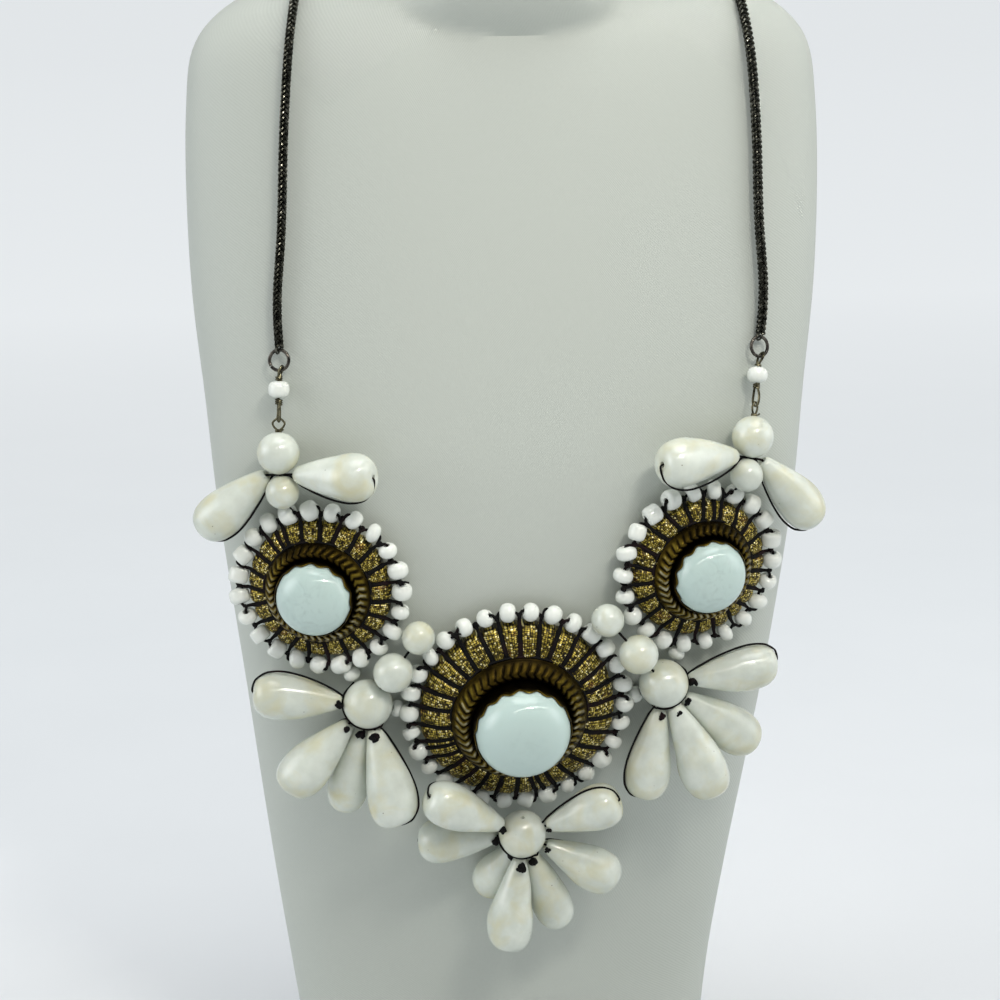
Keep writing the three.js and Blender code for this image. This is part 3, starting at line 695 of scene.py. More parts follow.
def polishedMagnesite():
    # Magnesite, tumbled and waxed: greenish white, yellow where it is stained, small grey pits, wet gloss
    material, tree, place = newMaterial("polishedMagnesite")
    own = addNode(tree, "ObjectInfo").outputs["Location"]  # so no two stones are alike
    spot = addNode(tree, "VectorMath", {0: place, 1: own}, operation="ADD")
    cloud = addNode(tree, "TexNoise", {"Vector": spot, "Scale": 1 / (6 * mm), "Detail": 3.0})
    body = addNode(tree, "ValToRGB", {0: cloud}, [(0.3, "#bdc3b8"), (0.55, "#cbd1c6"), (0.75, "#d6dbd1")])
    stain = addNode(tree, "TexNoise", {"Vector": spot, "Scale": 1 / (8 * mm), "Detail": 4.0, "Distortion": 0.5})
    stained = addNode(tree, "MapRange", {"Value": stain, "From Min": 0.47, "From Max": 0.74, "To Max": 0.75})
    warm = addNode(tree, "Mix", {"Factor": stained, "A": body, "B": linear("#c4bf95")}, data_type="RGBA")
    cells = addNode(tree, "TexVoronoi", {"Vector": spot, "Scale": 1 / (1.9 * mm)})
    pit = addNode(tree, "MapRange", {"Value": cells.outputs["Distance"], "From Min": 0.04, "From Max": 0.1,
                                     "To Min": 1.0, "To Max": 0.0})
    chosen = addNode(tree, "Math", {0: cells.outputs["Color"], 1: 0.76}, operation="GREATER_THAN")
    pits = addNode(tree, "Math", {0: pit, 1: chosen}, operation="MULTIPLY")
    dark = addNode(tree, "Mix", {"Factor": pits, "A": warm, "B": linear("#6c6a5c")}, data_type="RGBA")
    depth = addNode(tree, "Math", {0: cloud, 1: pits}, operation="SUBTRACT")
    bump = addNode(tree, "Bump", {"Strength": 0.35, "Distance": 0.15 * mm, "Height": depth})
    return shaded(material, {
        "Base Color": dark, "Roughness": 0.19, "IOR": 1.6, "Normal": bump,
        "Subsurface Weight": 0.15, "Subsurface Radius": (1.2, 1.0, 0.8), "Subsurface Scale": 0.9 * mm})


def lumpy(shape, amount, dice):
    # hand-cut unevenness: a few broad swells over the surface
    points, faces = shape
    middle = points.mean(0)
    away = points - middle
    ways = away / np.maximum(np.linalg.norm(away, axis=1), 0.3)[:, None]
    swell = sum(np.sin(ways @ (dice.normal(0, 2.2, 3)) + dice.uniform(0, turn)) for _ in range(4)) / 4
    return middle + away * (1 + amount * 2 * swell)[:, None], faces


def drilledBall(radius, bore, sides):
    low = np.arcsin(bore / radius)
    a = np.linspace(low, pi - low, 26)
    inside = radius * cos(low) - 0.25
    profile = [(bore * 0.8, -inside), *zip(radius * np.sin(a), -radius * np.cos(a)), (bore * 0.8, inside)]
    return lathe(profile, sides, looped=True)


def dropPlace(node):
    # origin at the tip, Z towards the fat end, X away from the bust; also its length and radius
    spots = cadSpots(node)
    axis = mainAxes(spots)[0]
    up = (spots - spots.mean(0)) @ axis
    spread = np.linalg.norm((spots - spots.mean(0)) - up[:, None] * axis, axis=1)
    if spread[up > up.max() - 0.2].max() > spread[up < up.min() + 0.2].max():
        axis, up = -axis, -up
    tip, end = spots[up < up.min() + 0.05].mean(0), spots[up.argmax()]
    return (tip, lookAlong(end - tip)), np.linalg.norm(end - tip), spread.max()


def bentDrop(length, radius, dice):
    look = dropLook
    outline = [(r * radius, z * length) for r, z, _ in refine([(r, z, 0) for r, z in dropProfile], 3)]
    bore = look["bore"] * radius
    points, faces = lathe([(bore, 0.6), *outline, (bore, length - 0.9)], look["sides"], looped=True)
    swing = dice.uniform(0, turn)
    bow = look["bend"] * np.sin(pi * np.clip(points[:, 2] / length, 0, 1)) * dice.uniform(0.3, 1)
    return points + np.outer(bow, [cos(swing), sin(swing), 0]), faces


def addStones(stone):
    dice = np.random.default_rng(21)
    for node in (n for n in parts if "_bead_" in n and not n.startswith("link")):
        kind, side = node.rsplit("_", 1)
        middle, radius = ballOf(node)
        goal = "cabochon_centre" if side == "bottom" else f"{boredToward[kind]}_{side}"
        ball = lumpy(drilledBall(radius, stoneLook["bore"], stoneLook["sides"]), stoneLook["lumps"], dice)
        place = (middle, lookAlong(middleOf(goal) - middle))
        addPiece(f"stone_{node}", ball, stone, [node], place)
    dice = np.random.default_rng(34)
    for node in (n for n in parts if n.startswith("drop_")):
        place, length, radius = dropPlace(node)
        drop = lumpy(bentDrop(length, radius, dice), dropLook["lumps"], dice)
        addPiece(f"stone_{node}", drop, stone, [node], place)


addStones(polishedMagnesite())
print("stone beads and drops made")

# Medallions: stitched pad, stamped setting, cabochon and a ring of edge beads

sideMedallion = {"pad": 4.8, "edge": 3.4, "ring": 12.8, "crest": 2.9, "cab": 17.5, "dome": 5.3, "cabLift": 3.7,
                 "ribs": 40, "tabs": 14, "doubles": 1, "bundle": 0.75, "border": 0.02}
medallions = {  # sizes of the CAD parts: edge-bead circle, setting, heights above the bust
    "centre": {"rim": 26.6, "beads": 30, "pad": 6.9, "edge": 4.3, "ring": 16.6, "crest": 3.8, "cab": 22.5,
               "dome": 7.0, "cabLift": 6.6, "ribs": 46, "tabs": 17, "doubles": 2, "bundle": 1.0, "border": 0.06},
    "left": {"rim": 20.1, "beads": 23, **sideMedallion},
    "right": {"rim": 20.0, "beads": 22, **sideMedallion},
}
gap = 0.33  # the room the CAD parts keep
threads = {  # thickness of each kind of thread: radius, step along it, sides
    "setting": (0.36, 0.6, 6), "edge": (0.36, 0.4, 7), "strings": (0.3, 0.5, 6), "strand": (0.28, 0.5, 6),
    "core": (0.28, 0.4, 6), "hub": (0.27, 0.4, 6), "loop": (0.26, 0.35, 6), "tail": (0.24, 0.3, 6),
}


def goldLame():
    # Lame: knitted cloth of flat metallised yarn, rows of glittering loops with dark gaps between; much of the
    # glitter is painted glints in the colour
    material, tree, place = newMaterial("goldLame")
    split = addNode(tree, "SeparateXYZ", {0: place})
    angle = addNode(tree, "Math", {0: split.outputs["Y"], 1: split.outputs["X"]}, operation="ARCTAN2")
    across = addNode(tree, "Math", {0: angle, 1: padLook["knitRadius"] / padLook["knit"]}, operation="MULTIPLY")
    flat = addNode(tree, "VectorMath", {0: place, 1: (1, 1, 0)}, operation="MULTIPLY")
    away = addNode(tree, "VectorMath", {0: flat}, operation="LENGTH")
    along = addNode(tree, "Math", {0: away, 1: 1 / (padLook["stitch"] * mm)}, operation="MULTIPLY")
    rows = addNode(tree, "CombineXYZ", {0: across, 1: along})
    loops = addNode(tree, "TexVoronoi", {"Vector": rows, "Scale": 1.0, "Randomness": 0.3})
    streaks = addNode(tree, "Mapping", {"Vector": rows, "Scale": (1.0, 0.3, 1.0)})
    shine = addNode(tree, "TexNoise", {"Vector": streaks, "Scale": 0.9, "Detail": 2.0})
    cell = addNode(tree, "SeparateColor", {0: loops.outputs["Color"]})
    # painted glints: noise and the loops' random tone lighten the yarn up to pale yellow, for the sparkle of the
    # metal
    glint = addNode(tree, "Mix", {"Factor": 0.42, "A": shine, "B": cell.outputs["Red"]})
    yarn = addNode(tree, "ValToRGB", {0: glint}, [
        (0.26, "#211903"), (0.4, "#5d5015"), (0.52, "#988630"), (0.63, "#d6c055"), (0.73, "#f8eeb8")])
    patch = addNode(tree, "TexNoise", {"Vector": place, "Scale": 1 / (3.2 * mm), "Detail": 3.0})
    rust = addNode(tree, "MapRange", {"Value": patch, "From Min": 0.6, "From Max": 0.78, "To Max": 0.5})
    warm = addNode(tree, "Mix", {"Factor": rust, "A": yarn, "B": linear("#8a4a1c")}, data_type="RGBA")
    gaps = addNode(tree, "MapRange", {"Value": loops.outputs["Distance"], "From Min": 0.3, "From Max": 0.58})
    tint = addNode(tree, "Mix", {"Factor": gaps, "A": warm, "B": linear("#0b0702")}, data_type="RGBA")
    bump = addNode(tree, "Bump", {"Strength": 0.6, "Distance": 0.1 * mm, "Height": loops.outputs["Distance"]},
                   invert=True)
    return shaded(material, {"Base Color": tint, "Metallic": 0.7, "Roughness": 0.42, "Normal": bump})


def waxedThread():
    # Waxed polyester thread, black with a burgundy cast where it is worn: matt, with a twist
    material, tree, place = newMaterial("waxedThread")
    wear = addNode(tree, "TexNoise", {"Vector": place, "Scale": 1 / (5 * mm), "Detail": 2.0})
    tint = addNode(tree, "ValToRGB", {0: wear}, [(0.5, "#050505"), (0.8, "#200d0f")])
    twist = addNode(tree, "TexNoise", {"Vector": place, "Scale": 1 / (0.25 * mm), "Detail": 1.0})
    bump = addNode(tree, "Bump", {"Strength": 0.5, "Distance": 0.08 * mm, "Height": twist})
    return shaded(material, {"Base Color": tint, "Roughness": 0.85, "IOR": 1.5, "Specular IOR Level": 0.2,
                             "Normal": bump})


def stampedBrass():
    # Stamped brass, aged in a bronze patina: olive brown on the ribs, black in the hollows
    material, tree, place = newMaterial("stampedBrass")
    # the relief attribute darkens the recesses and the ring's top with painted shade and lightens the bezel's rubbed
    # lip with a painted highlight
    relief = addNode(tree, "Attribute", attribute_name="relief").outputs["Fac"]
    patina = addNode(tree, "TexNoise", {"Vector": place, "Scale": 1 / (2.4 * mm), "Detail": 4.0})
    speck = addNode(tree, "Math", {0: patina, 1: 0.45, 2: relief}, operation="MULTIPLY_ADD")
    # the palest stop shows mainly on the bezel's rubbed lip, as real wear and a painted highlight
    tone = addNode(tree, "ValToRGB", {0: speck}, [
        (0.22, "#060502"), (0.42, "#1b1508"), (0.66, "#3f3310"), (0.86, "#665820"), (1.0, "#a09c86")])
    rough = addNode(tree, "MapRange", {"Value": patina, "To Min": 0.55, "To Max": 0.36})
    bump = addNode(tree, "Bump", {"Strength": 0.3, "Distance": 0.08 * mm, "Height": patina})
    return shaded(material, {"Base Color": tone, "Metallic": 1.0, "Roughness": rough, "Normal": bump})


def milkGlass():
    # Milk glass pressed in a mould and fire-polished: pale ice blue, mirror gloss, faint grey flow marks
    material, tree, place = newMaterial("milkGlass")
    flow = addNode(tree, "TexNoise", {"Vector": place, "Scale": 1 / (3.5 * mm), "Detail": 5.0, "Distortion": 1.5})
    away = addNode(tree, "VectorMath", {0: place}, operation="LENGTH")
    middle = addNode(tree, "MapRange", {"Value": away, "From Min": 4 * mm, "From Max": 10 * mm,
                                        "To Min": 1.0, "To Max": 0.0})
    mark = addNode(tree, "MapRange", {"Value": flow, "From Min": 0.46, "From Max": 0.8, "To Max": 0.7})
    both = addNode(tree, "Math", {0: middle, 1: mark}, operation="MULTIPLY")
    tint = addNode(tree, "Mix", {"Factor": both, "A": linear("#b6c9c3"), "B": linear("#8c9a97")}, data_type="RGBA")
    return shaded(material, {"Base Color": tint, "Roughness": 0.07, "IOR": 1.52,
                             "Subsurface Weight": 0.2, "Subsurface Radius": (0.8, 1.0, 1.1),
                             "Subsurface Scale": 1.5 * mm})


def threadAlong(points, kind, closed=False):
    radius, step, sides = threads[kind]
    return wireAlong(points, radius, closed, step, sides)


def addThread(name, shapes, place=None):
    addPiece(name, joined(shapes), blackThread, place=place)


def medallionPlace(side):
    # frame of a medallion: origin on the bust under its middle, Z outward
    spots = cadSpots(f"pad_{side}")
    axes = facing(fitted(mainAxes(spots)[2], forward))
    out, flat = axes[2], axes[:2]
    disc = cadSpots(f"setting_{side}") @ flat.T
    return (disc.min(0) + disc.max(0)) / 2 @ flat + ((spots @ out).min() - gap) * out, axes


# Pad: one stitch between two beads, a little askew, and the cloth puffed up between the stitches

padLook = {"groove": 0.75, "puff": 0.3, "grooveWidth": 0.62, "perWindow": 12, "knit": 0.56, "knitRadius": 19.0,
           "stitch": 0.4}
stitchLook = {"askew": 0.2, "beside": (0.42, 0.38), "strands": 3, "spread": 0.4}
stitchKnot = [(0, -0.6), (0.36, -0.45), (0.6, 0), (0.36, 0.45), (0, 0.6)]  # outline: radius, height


def stitchAngles(m, dice):
    # angles at the rim and at the setting; a few stitches are doubled
    step, askew = turn / m["beads"], stitchLook["askew"]
    outer = (np.arange(m["beads"]) + 0.5) * step
    inner = outer + dice.uniform(-askew, askew, len(outer)) * step
    pairs = list(zip(outer, inner))
    for i in dice.choice(len(outer), m["doubles"], replace=False):
        pairs.append((outer[i] + stitchLook["beside"][0] * step, inner[i] + stitchLook["beside"][1] * step))
    return sorted(pairs, key=lambda pair: pair[0])


def padProfile(m):
    # from under the middle, round the edge and up to the seat: (radius, height, share of the groove)
    out, seat = m["rim"] - edgeBead["radius"] - gap, m["ring"] + 0.2
    low, edge, top = gap, gap + m["edge"], gap + m["pad"]
    slope = [(out - 0.55 - (out - 0.55 - seat) * s, edge + 0.1 + (top - edge - 0.1) * sin(s * pi / 2) ** 0.9, 1.0)
             for s in np.linspace(0, 1, 12)]
    return [(0, low, 0), (out * 0.5, low, 0), (out - 1.0, low, 0), (out - 0.3, low + 0.3, 0.3), (out, low + 0.9, 0.7),
            (out + 0.05, edge * 0.65, 1.0), (out - 0.15, edge - 0.4, 1.0), *slope,
            (seat - 1.2, top - 0.05, 0.4), (seat * 0.6, top - 0.1, 0), (0, top - 0.1, 0)]


def addPad(side, m, place, stitches, lame):
    outer, inner = np.array(stitches).T
    share = np.arange(padLook["perWindow"]) / padLook["perWindow"]
    puff = np.sin(pi * np.tile(share, len(stitches))) * padLook["puff"]
    profile = padProfile(m)
    out, seat = m["rim"] - edgeBead["radius"], m["ring"]
    rows = []
    for k, (radius, height, depth) in enumerate(profile):
        if radius == 0:
            rows.append(np.array([[0, 0, height]]))
            continue
        lines = inner + (outer - inner) * np.clip((radius - seat) / (out - seat), 0, 1)
        wide = (np.append(lines[1:], lines[0] + turn) - lines)[:, None]  # angle from each stitch to the next
        a = (lines[:, None] + wide * share).ravel()
        near = (np.minimum(share, 1 - share) * wide).ravel() * radius
        groove = np.exp(-(near / padLook["grooveWidth"]) ** 2) * padLook["groove"]
        before, beyond = profile[k - 1], profile[k + 1]
        way = unit(np.array([beyond[1] - before[1], before[0] - beyond[0]], float))
        shift = depth * (puff - groove)
        rows.append(polar(radius + way[0] * shift * 0.8, a, height + way[1] * shift))
    pad = addPiece(f"stitched_pad_{side}", skin(rows), lame, [f"pad_{side}"], place, sharp=70)


def addStitches(side, m, place, stitches, dice):
    # strands in each groove, down the edge to the thread between the beads, with a knot there
    slope = [(r, z) for r, z, depth in padProfile(m) if depth == 1.0][:1:-1]
    radii, heights = np.array(slope).T
    shapes = []
    for outer, inner in stitches:
        for k in range(stitchLook["strands"]):
            offset = (k - 1) * stitchLook["spread"] * m["bundle"]
            r = np.linspace(m["ring"] - 0.5, radii[-1] + 0.3, 8)
            blend = (r - r[0]) / (r[-1] - r[0])
            a = inner + (outer - inner) * blend + offset * (1 + 0.25 * np.sin(5 * blend + k)) / r
            z = np.interp(r, radii, heights) - 0.34 + (0.1 if k == 1 else 0) + 0.05 * np.sin(7 * blend + 2 * k)
            end = [polar(radii[-1] + 1.0, outer + offset * 0.5 / r[-1], gap + m["edge"] - 0.5),
                   polar(m["rim"] - 1.0, outer + offset * 0.3 / r[-1], 3.2), polar(m["rim"] - 0.2, outer, 2.73)]
            shapes.append(threadAlong(np.concatenate([polar(r, a, z), end]), "strand"))
        points, faces = lathe(stitchKnot, 8)
        knot = lumpy((points * dice.uniform(0.8, 1.3, 3), faces), 0.15, dice)
        shapes.append((knot[0] + polar(m["rim"] - 0.5, outer, 3.0), faces))
    a = around(60)  # thread laid round the foot of the setting
    foot = polar(m["ring"] + 0.2 + 0.12 * np.sin(7 * a), a, gap + m["pad"] + 0.12 * np.sin(11 * a))
    shapes.append(threadAlong(foot, "setting", closed=True))
    addThread(f"blanket_stitch_{side}", shapes, place)


# Edge beads: pressed by hand, so each has its own size, tilt and outline

edgeBead = {
    "radius": 2.5, "half": 1.95, "bore": 0.75, "sides": 30, "tip": 22, "tipMost": 0.45,
    "sizes": (0.88, 1.03), "lengths": (0.86, 1.15),
    "powers": {2.1: 0.3, 2.4: 0.35, 3.0: 0.2, 4.0: 0.15},  # chance of each outline: round ones to square ones
}


def addEdgeBeads(side, m, place, dice):
    look = edgeBead
    level = look["radius"] + gap
    beads, way = [], []
    for i in range(m["beads"]):
        a = i * turn / m["beads"]
        tips = np.radians(dice.normal(0, look["tip"], 2)).clip(-look["tipMost"], look["tipMost"])
        radial, tangent = np.array([cos(a), sin(a), 0]), np.array([-sin(a), cos(a), 0])
        axis = unit(tangent + tips[0] * radial + tips[1] * upward)
        size, long = dice.uniform(*look["sizes"]), dice.uniform(*look["lengths"])
        power = dice.choice(list(look["powers"]), p=list(look["powers"].values()))
        shape = ringBead(look["bore"], look["radius"] * size, look["half"] * long, look["sides"], power)
        spot = polar(m["rim"] + dice.uniform(-0.15, 0.15), a, level)
        beads.append(moved(shape, (spot, lookAlong(axis, radial))))
        way += [spot + axis * end * look["half"] * long for end in (-1, 1)]
        way.append(polar(m["rim"] - 1.2, a + pi / m["beads"], level + 0.9))
    addPiece(f"seed_beads_{side}", joined(beads), glassWhite, [f"edge_beads_{side}"], place)
    addThread(f"edge_thread_{side}", [threadAlong(way, "edge", closed=True)], place)


# Setting: one skin from the flat back round the ribbed ring to the scalloped bezel and down into the cup

settingLook = {"around": 12, "ribDepth": 0.38, "lean": 1.15, "peak": 1.55, "valley": 0.3, "lip": 0.36, "wall": 0.3,
               "cupDepth": 1.6, "cabSpread": 0.25, "topShadeStrength": 0.5}
settingShape = [  # share of the way from the rim in to the cup, share of the crest's height
    (0.0, 0.0), (-0.005, 0.08), (0.03, 0.16), (0.06, 0.27), (0.09, 0.34), (0.16, 0.48), (0.27, 0.68), (0.4, 0.87),
    (0.53, 0.97), (0.66, 1.0), (0.8, 0.92), (0.92, 0.7), (1.0, 0.42),
]
cabLook = {"taller": 0.17, "fullness": 2.35, "lower": 0.2, "skirt": 1.2, "sides": 96}


def cabochonSize(m):
    # radius, height and the power of its outline
    return m["cab"] / 2 + settingLook["cabSpread"], m["dome"] * (1 + cabLook["taller"]), cabLook["fullness"]


def ribbedRing(m, foot, a):
    # rows of (radius, height, relief) over the stamped ring; the relief also holds painted shade towards the cup and
    # towards the top
    look = settingLook
    shape = refine([(u, h, 0) for u, h in settingShape], 4)[:, :2]
    path = np.column_stack([m["ring"] - (m["ring"] - foot) * shape[:, 0], m["crest"] * shape[:, 1]])
    ways = np.gradient(path, axis=0)
    ways /= np.linalg.norm(ways, axis=1)[:, None]
    for (u, _), (r, z), (dr, dz) in zip(shape, path, ways):
        t = (u - m["border"]) / (0.98 - m["border"])  # 0 at the outer end of the ribs, 1 at the inner
        band = np.clip(min(t, 1 - t) * 6, 0, 1)
        phase = turn * (m["ribs"] * a / turn + look["lean"] * abs(t - 0.5))
        wave = 0.5 - 0.5 * np.cos(phase + 0.6 * np.sin(phase))
        push = band * look["ribDepth"] * (wave - 0.8)
        shadow = np.clip((1.25 - u) / 0.3, 0.2, 1)
        topShade = 1 - look["topShadeStrength"] * np.clip(np.sin(a), 0, 1) ** 2  # painted shade: the ring is coloured darker towards its top
        yield r + push * dz, z - push * dr, shadow * topShade * (0.4 + band * 0.6 * (wave - 0.5))


def bezel(m, foot, cup, a):
    # rows of (radius, height, relief) up the outside of the tabs, over their rubbed edge and down into the cup; the
    # relief paints shade on the outer wall and in the cup, and on the rubbed lip gives both real wear and a painted
    # highlight
    look, lift, lip = settingLook, m["cabLift"], settingLook["lip"]
    tab = (0.5 + 0.5 * np.cos(m["tabs"] * a)) ** 0.7  # rounded tabs
    height = look["valley"] + (look["peak"] - look["valley"]) * tab
    spread, top, power = cabochonSize(m)
    dome, edge = spread * (1 - (height / top) ** power) ** (1 / power), lift + height
    for r, z, wearGlintAndShade in (
            (foot - 0.05, lift * 0.5, 0.1), (foot - 0.1, lift - 0.4, 0.12), (dome + lip + 0.15, edge - 0.25, 0.3),
            (dome + lip, edge, 0.6), (dome + lip * 0.6, edge + 0.14, 0.5), (dome + 0.14, edge, 0.25),
            (dome + 0.12, edge - 0.2, 0.05), (cup, lift, 0.0), (cup, lift - look["cupDepth"], 0.0)):
        yield r, z, wearGlintAndShade * (0.6 + 0.4 * tab)


def addSetting(side, m, place, brass):
    base = m["pad"] + 2 * gap
    cup = m["cab"] / 2 + 1.25 * gap
    foot = cup + settingLook["wall"]
    a = around(m["ribs"] * settingLook["around"])
    rows, relief = [np.array([[0, 0, base]])], [np.zeros(1)]
    for r, z, shade in [*ribbedRing(m, foot, a), *bezel(m, foot, cup, a)]:
        rows.append(polar(r, a, base + z))
        relief.append(shade)
    rows.append(np.array([[0, 0, base + m["cabLift"] - settingLook["cupDepth"]]]))
    relief.append(np.zeros(1))
    addPiece(f"rope_setting_{side}", skin(rows), brass, [f"setting_{side}"], place,
             relief=np.concatenate(relief), sharp=50)


def addCabochon(side, m, place, glass):
    r, top, power = cabochonSize(m)
    low, skirt = cabLook["lower"], -cabLook["skirt"]
    dome = [(r * cos(x) ** (2 / power), top * sin(x) ** (2 / power) - low) for x in np.linspace(0, pi / 2, 28)[:-1]]
    shape = lathe([(0, skirt), (r - 0.5, skirt), (r - 0.1, skirt + 0.3), *dome, (0, top - low)], cabLook["sides"])
    up = place[1][2] * (m["pad"] + 2 * gap + m["cabLift"])
    addPiece(f"glass_cabochon_{side}", shape, glass, [f"cabochon_{side}"], (place[0] + up, place[1]))


def addMedallions():
    lame, brass, glass = goldLame(), stampedBrass(), milkGlass()
    for seed, (side, m) in enumerate(medallions.items()):
        dice = np.random.default_rng(50 + seed)
        place = medallionPlace(side)
        stitches = stitchAngles(m, dice)
        addPad(side, m, place, stitches, lame)
        addStitches(side, m, place, stitches, dice)
        addEdgeBeads(side, m, place, dice)
        addSetting(side, m, place, brass)
        addCabochon(side, m, place, glass)
        print("medallion made:", side)


blackThread = waxedThread()
addMedallions()

# Thread loops: from the hole at a drop's fat end, along one side of it, to its hub

# where each loop lies on its drop, in degrees from the front with the right-hand side positive, and how far it bulges
loopSides = {
    "top_left_1": (-80, 0.25), "top_left_2": (85, 0.7), "top_right_1": (-75, 0.8), "top_right_2": (80, 0.45),
    "left_1": (75, 0.9), "left_2": (150, 0.2), "left_3": (165, 0.2), "left_4": (-80, 0.35),
    "right_1": (-75, 0.7), "right_2": (150, 0.2), "right_3": (170, 0.2), "right_4": (80, 0.45),
    "bottom_1": (150, 0.2), "bottom_2": (160, 0.2), "bottom_3": (-150, 0.2), "bottom_4": (160, 0.2),
    "bottom_5": (150, 0.2), "bottom_6": (-150, 0.2), "bottom_7": (-80, 0.35),
}


def hubOf(drop):
    # the spot that a drop hangs from
    group = drop.rsplit("_", 1)[0]
    if group.startswith("top"):
        side = group.split("_")[1]
        return middleOf(f"top_bead_{side}") * 0.45 + middleOf(f"small_bead_top_{side}") * 0.55
    return middleOf(f"hub_bead_{group}")


def addLoops():
    across, up = np.array(dropProfile[:-1]).T
    for drop, (angle, bulge) in loopSides.items():
        place, length, radius = dropPlace(f"drop_{drop}")
        hub = hubOf(drop)
        way = np.array([cos(radians(angle)), sin(radians(angle)), 0])
        s = np.linspace(0.97, 0.06, 12)
        r = np.interp(s, up, across) * radius + 0.15 + bulge * np.sin(pi * s**0.8)
        beside = way * r[:, None] + np.outer(s * length, upward)
        inHole = [upward * (length - 2.5), upward * (length - 0.2), way * 0.9 + upward * (length + 0.32),
                  way * r[0] * 0.72 + upward * length * 0.998]
        toHub = [place[0] + (hub - place[0]) * 0.35 + way @ place[1] * 0.4, hub]
        loop = threadAlong(np.concatenate([toWorld(place, np.concatenate([inHole, beside])), toHub]), "loop")
        core = threadAlong([*toWorld(place, [(0, 0, 3), (0, 0, 1), (0, 0, 0)]), hub], "core")
        addThread(f"drop_thread_{drop}", [core, loop])


def addStrings():
    # thread that runs through the round beads on each side, tied to the ring of edge beads above
    for side in bothSides:
        place, start = medallionPlace(side), middleOf(f"small_bead_top_{side}")
        away = unit(toLocal(place, start)[:2]) * (medallions[side]["rim"] - 0.5)
        upper = [middleOf(f"top_bead_{side}"), start, toWorld(place, [*away, edgeBead["radius"] + gap])]
        lower = [middleOf(f"{kind}_{side}") for kind in ("small_bead", "join_bead", "hub_bead")]
        addThread(f"bead_thread_{side}", [threadAlong(run, "strings") for run in (upper, lower)])


# Knots, thread round the hubs, and the small beads between a hub and the medallions

knotLook = {"reach": 0.66, "thread": 0.33, "points": 16, "along": 0.3, "alongLow": 0.7}
rimKnots = {"left": [(82.2, 1.15)], "centre": [(324, 1.2), (264, 0.8)], "right": [(261.8, 1.0)]}  # clock angle, size
tipKnots = {  # the size of the knot at each drop's tip
    "left": [1.4, 1.1, 1.8, 1.8], "right": [1.7, 1.5, 1.2, 1.3], "bottom": [1.5, 1.7, 1.8, 2.5, 1.7, 1.1, 1.1],
}
hubArcs = {"left": (140, 300), "right": (60, 215), "bottom": (140, 268)}  # clock angles of the thread's ends
spareBeads = {  # name: the bead it sits beside, clock angle and distance from it
    "between_left": ("hub_bead_left", 325, 7.4), "between_left_low": ("hub_bead_left", 119, 7.7),
    "between_right": ("hub_bead_right", 36, 7.4), "between_right_low": ("hub_bead_right", 231, 7.5),
    "above_small_left": ("small_bead_left", 320, 6.6),
}
spareLook = {"radius": 2.1, "half": 1.7, "bore": 0.65, "sides": 28, "power": 2.1}


def bustTree():
    mesh = bpy.data.objects["bust_cover"].data
    return BVHTree.FromPolygons([v.co for v in mesh.vertices], [p.vertices[:] for p in mesh.polygons])


def overBust(spot, lift=0):
    # place straight over the nearest point of the bust: axes right, up, out
    found, normal, _, _ = bustSurface.find_nearest(Vector((np.asarray(spot) * mm).tolist()))
    axes = facing(fitted(np.array(normal), forward))
    return np.array(found) / mm + axes[2] * lift, axes


def clockWay(clock):
    return np.array([sin(radians(clock)), cos(radians(clock)), 0.0])


def tangle(dice, size):
    # a knot: one short length of thread that winds round itself
    spots = dice.normal(0, 1, (knotLook["points"], 3))
    spots *= knotLook["reach"] * size / np.linalg.norm(spots, axis=1)[:, None] * dice.uniform(0.5, 1, (len(spots), 1))
    return wireAlong(spots, knotLook["thread"] * size**0.4, closed=True, step=0.25)


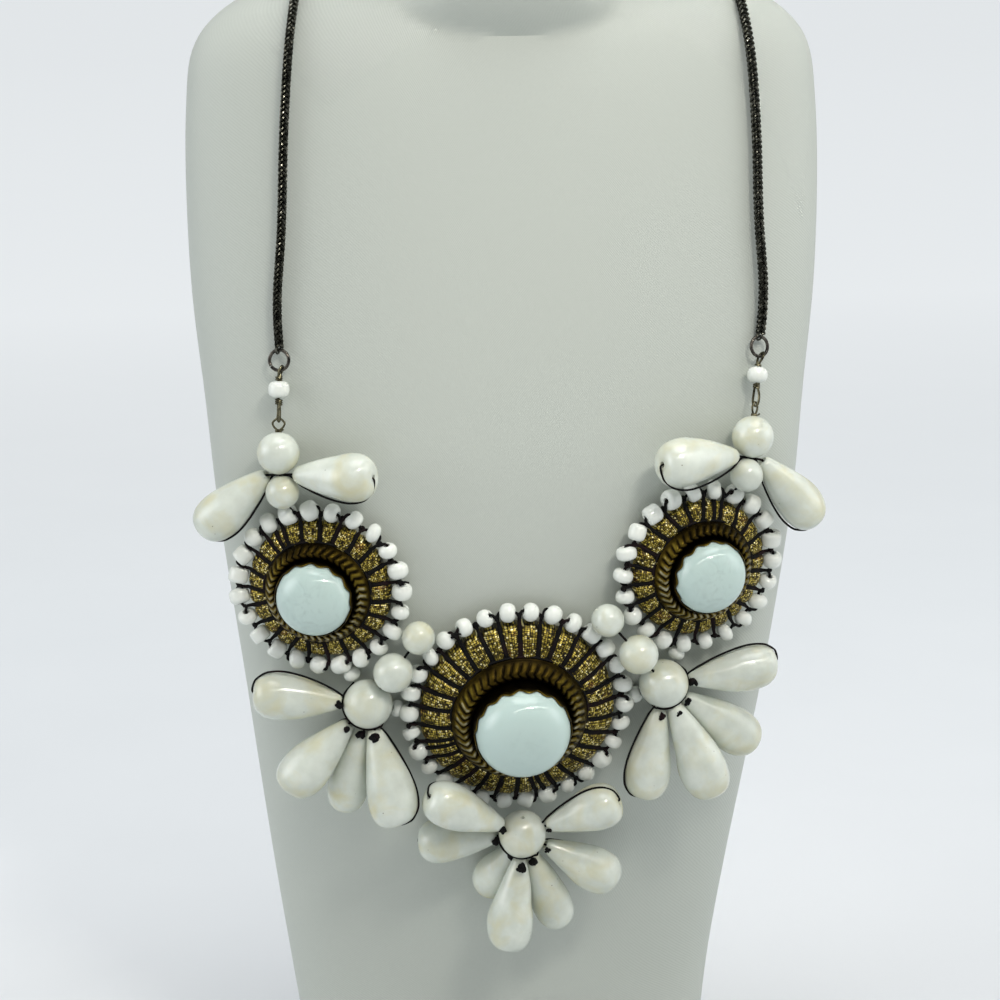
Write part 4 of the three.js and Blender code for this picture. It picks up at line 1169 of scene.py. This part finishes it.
def addRimKnots(dice):
    for side, knots in rimKnots.items():
        place, shapes = medallionPlace(side), []
        for clock, size in knots:
            points, faces = tangle(dice, size)
            spot = clockWay(clock) * (medallions[side]["rim"] + 0.4) + [0, 0, 1.6 * edgeBead["radius"] + gap]
            tail = threadAlong([spot, spot + [1.0, 0.6, 0.5], spot + [1.9, 0.2, 0.1]], "tail")
            shapes += [moved((points + spot, faces), place), moved(tail, place)]
        addThread(f"rim_knot_{side}", shapes)


def addTipKnots(dice):
    radii, heights = np.array(dropProfile).T
    for side, sizes in tipKnots.items():
        shapes = []
        for node, size in zip([n for n in parts if n.startswith(f"drop_{side}_")], sizes, strict=True):
            (tip, (_, _, way)), length, radius = dropPlace(node)
            points, faces = tangle(dice, size)
            _, up, out = overBust(tip)[1]
            # a drop that points down is seen from above, past its hub, so its knot lies further along it
            along = knotLook["along"] + knotLook["alongLow"] * max(0, -(way @ up))
            front = np.interp(along / length, heights, radii) * radius + 0.3 * size
            shapes.append((points + tip + way * along + out * front, faces))
        addThread(f"hub_knots_{side}", shapes)


def addHubThreads():
    for side, (start, end) in hubArcs.items():
        hub, radius = ballOf(f"hub_bead_{side}")
        radius += 0.22
        ring = []
        for c in np.linspace(start, end, 16):  # its lower half lies at the front, where it shows
            back = radius * (0.4 * cos(radians(c)) - 0.12)
            ring.append(clockWay(c) * np.sqrt(radius**2 - back**2) - [0, 0, back])
        ends = [clockWay(c) * radius * 0.85 - [0, 0, radius * 0.62] for c in (start - 14, end + 14)]
        thread = threadAlong([ends[0], *ring, ends[1]], "hub")
        addThread(f"hub_thread_{side}", [moved(thread, (hub, overBust(hub)[1]))])


def addSpareBeads(dice):
    look = spareLook
    for name, (by, clock, away) in spareBeads.items():
        hub = middleOf(by)
        way = clockWay(clock) @ overBust(hub)[1]
        spot, _ = overBust(hub + way * away, look["radius"] + gap)
        half = look["half"] * dice.uniform(0.9, 1.1)
        shape = ringBead(look["bore"], look["radius"], half, look["sides"], look["power"])
        addPiece(f"spare_bead_{name}", shape, glassWhite, (), (spot, lookAlong(spot - hub)))


knotDice = np.random.default_rng(77)
bustSurface = bustTree()
addLoops()
addStrings()
addRimKnots(knotDice)
addTipKnots(knotDice)
addHubThreads()
addSpareBeads(knotDice)
print("threads, knots and small beads made")
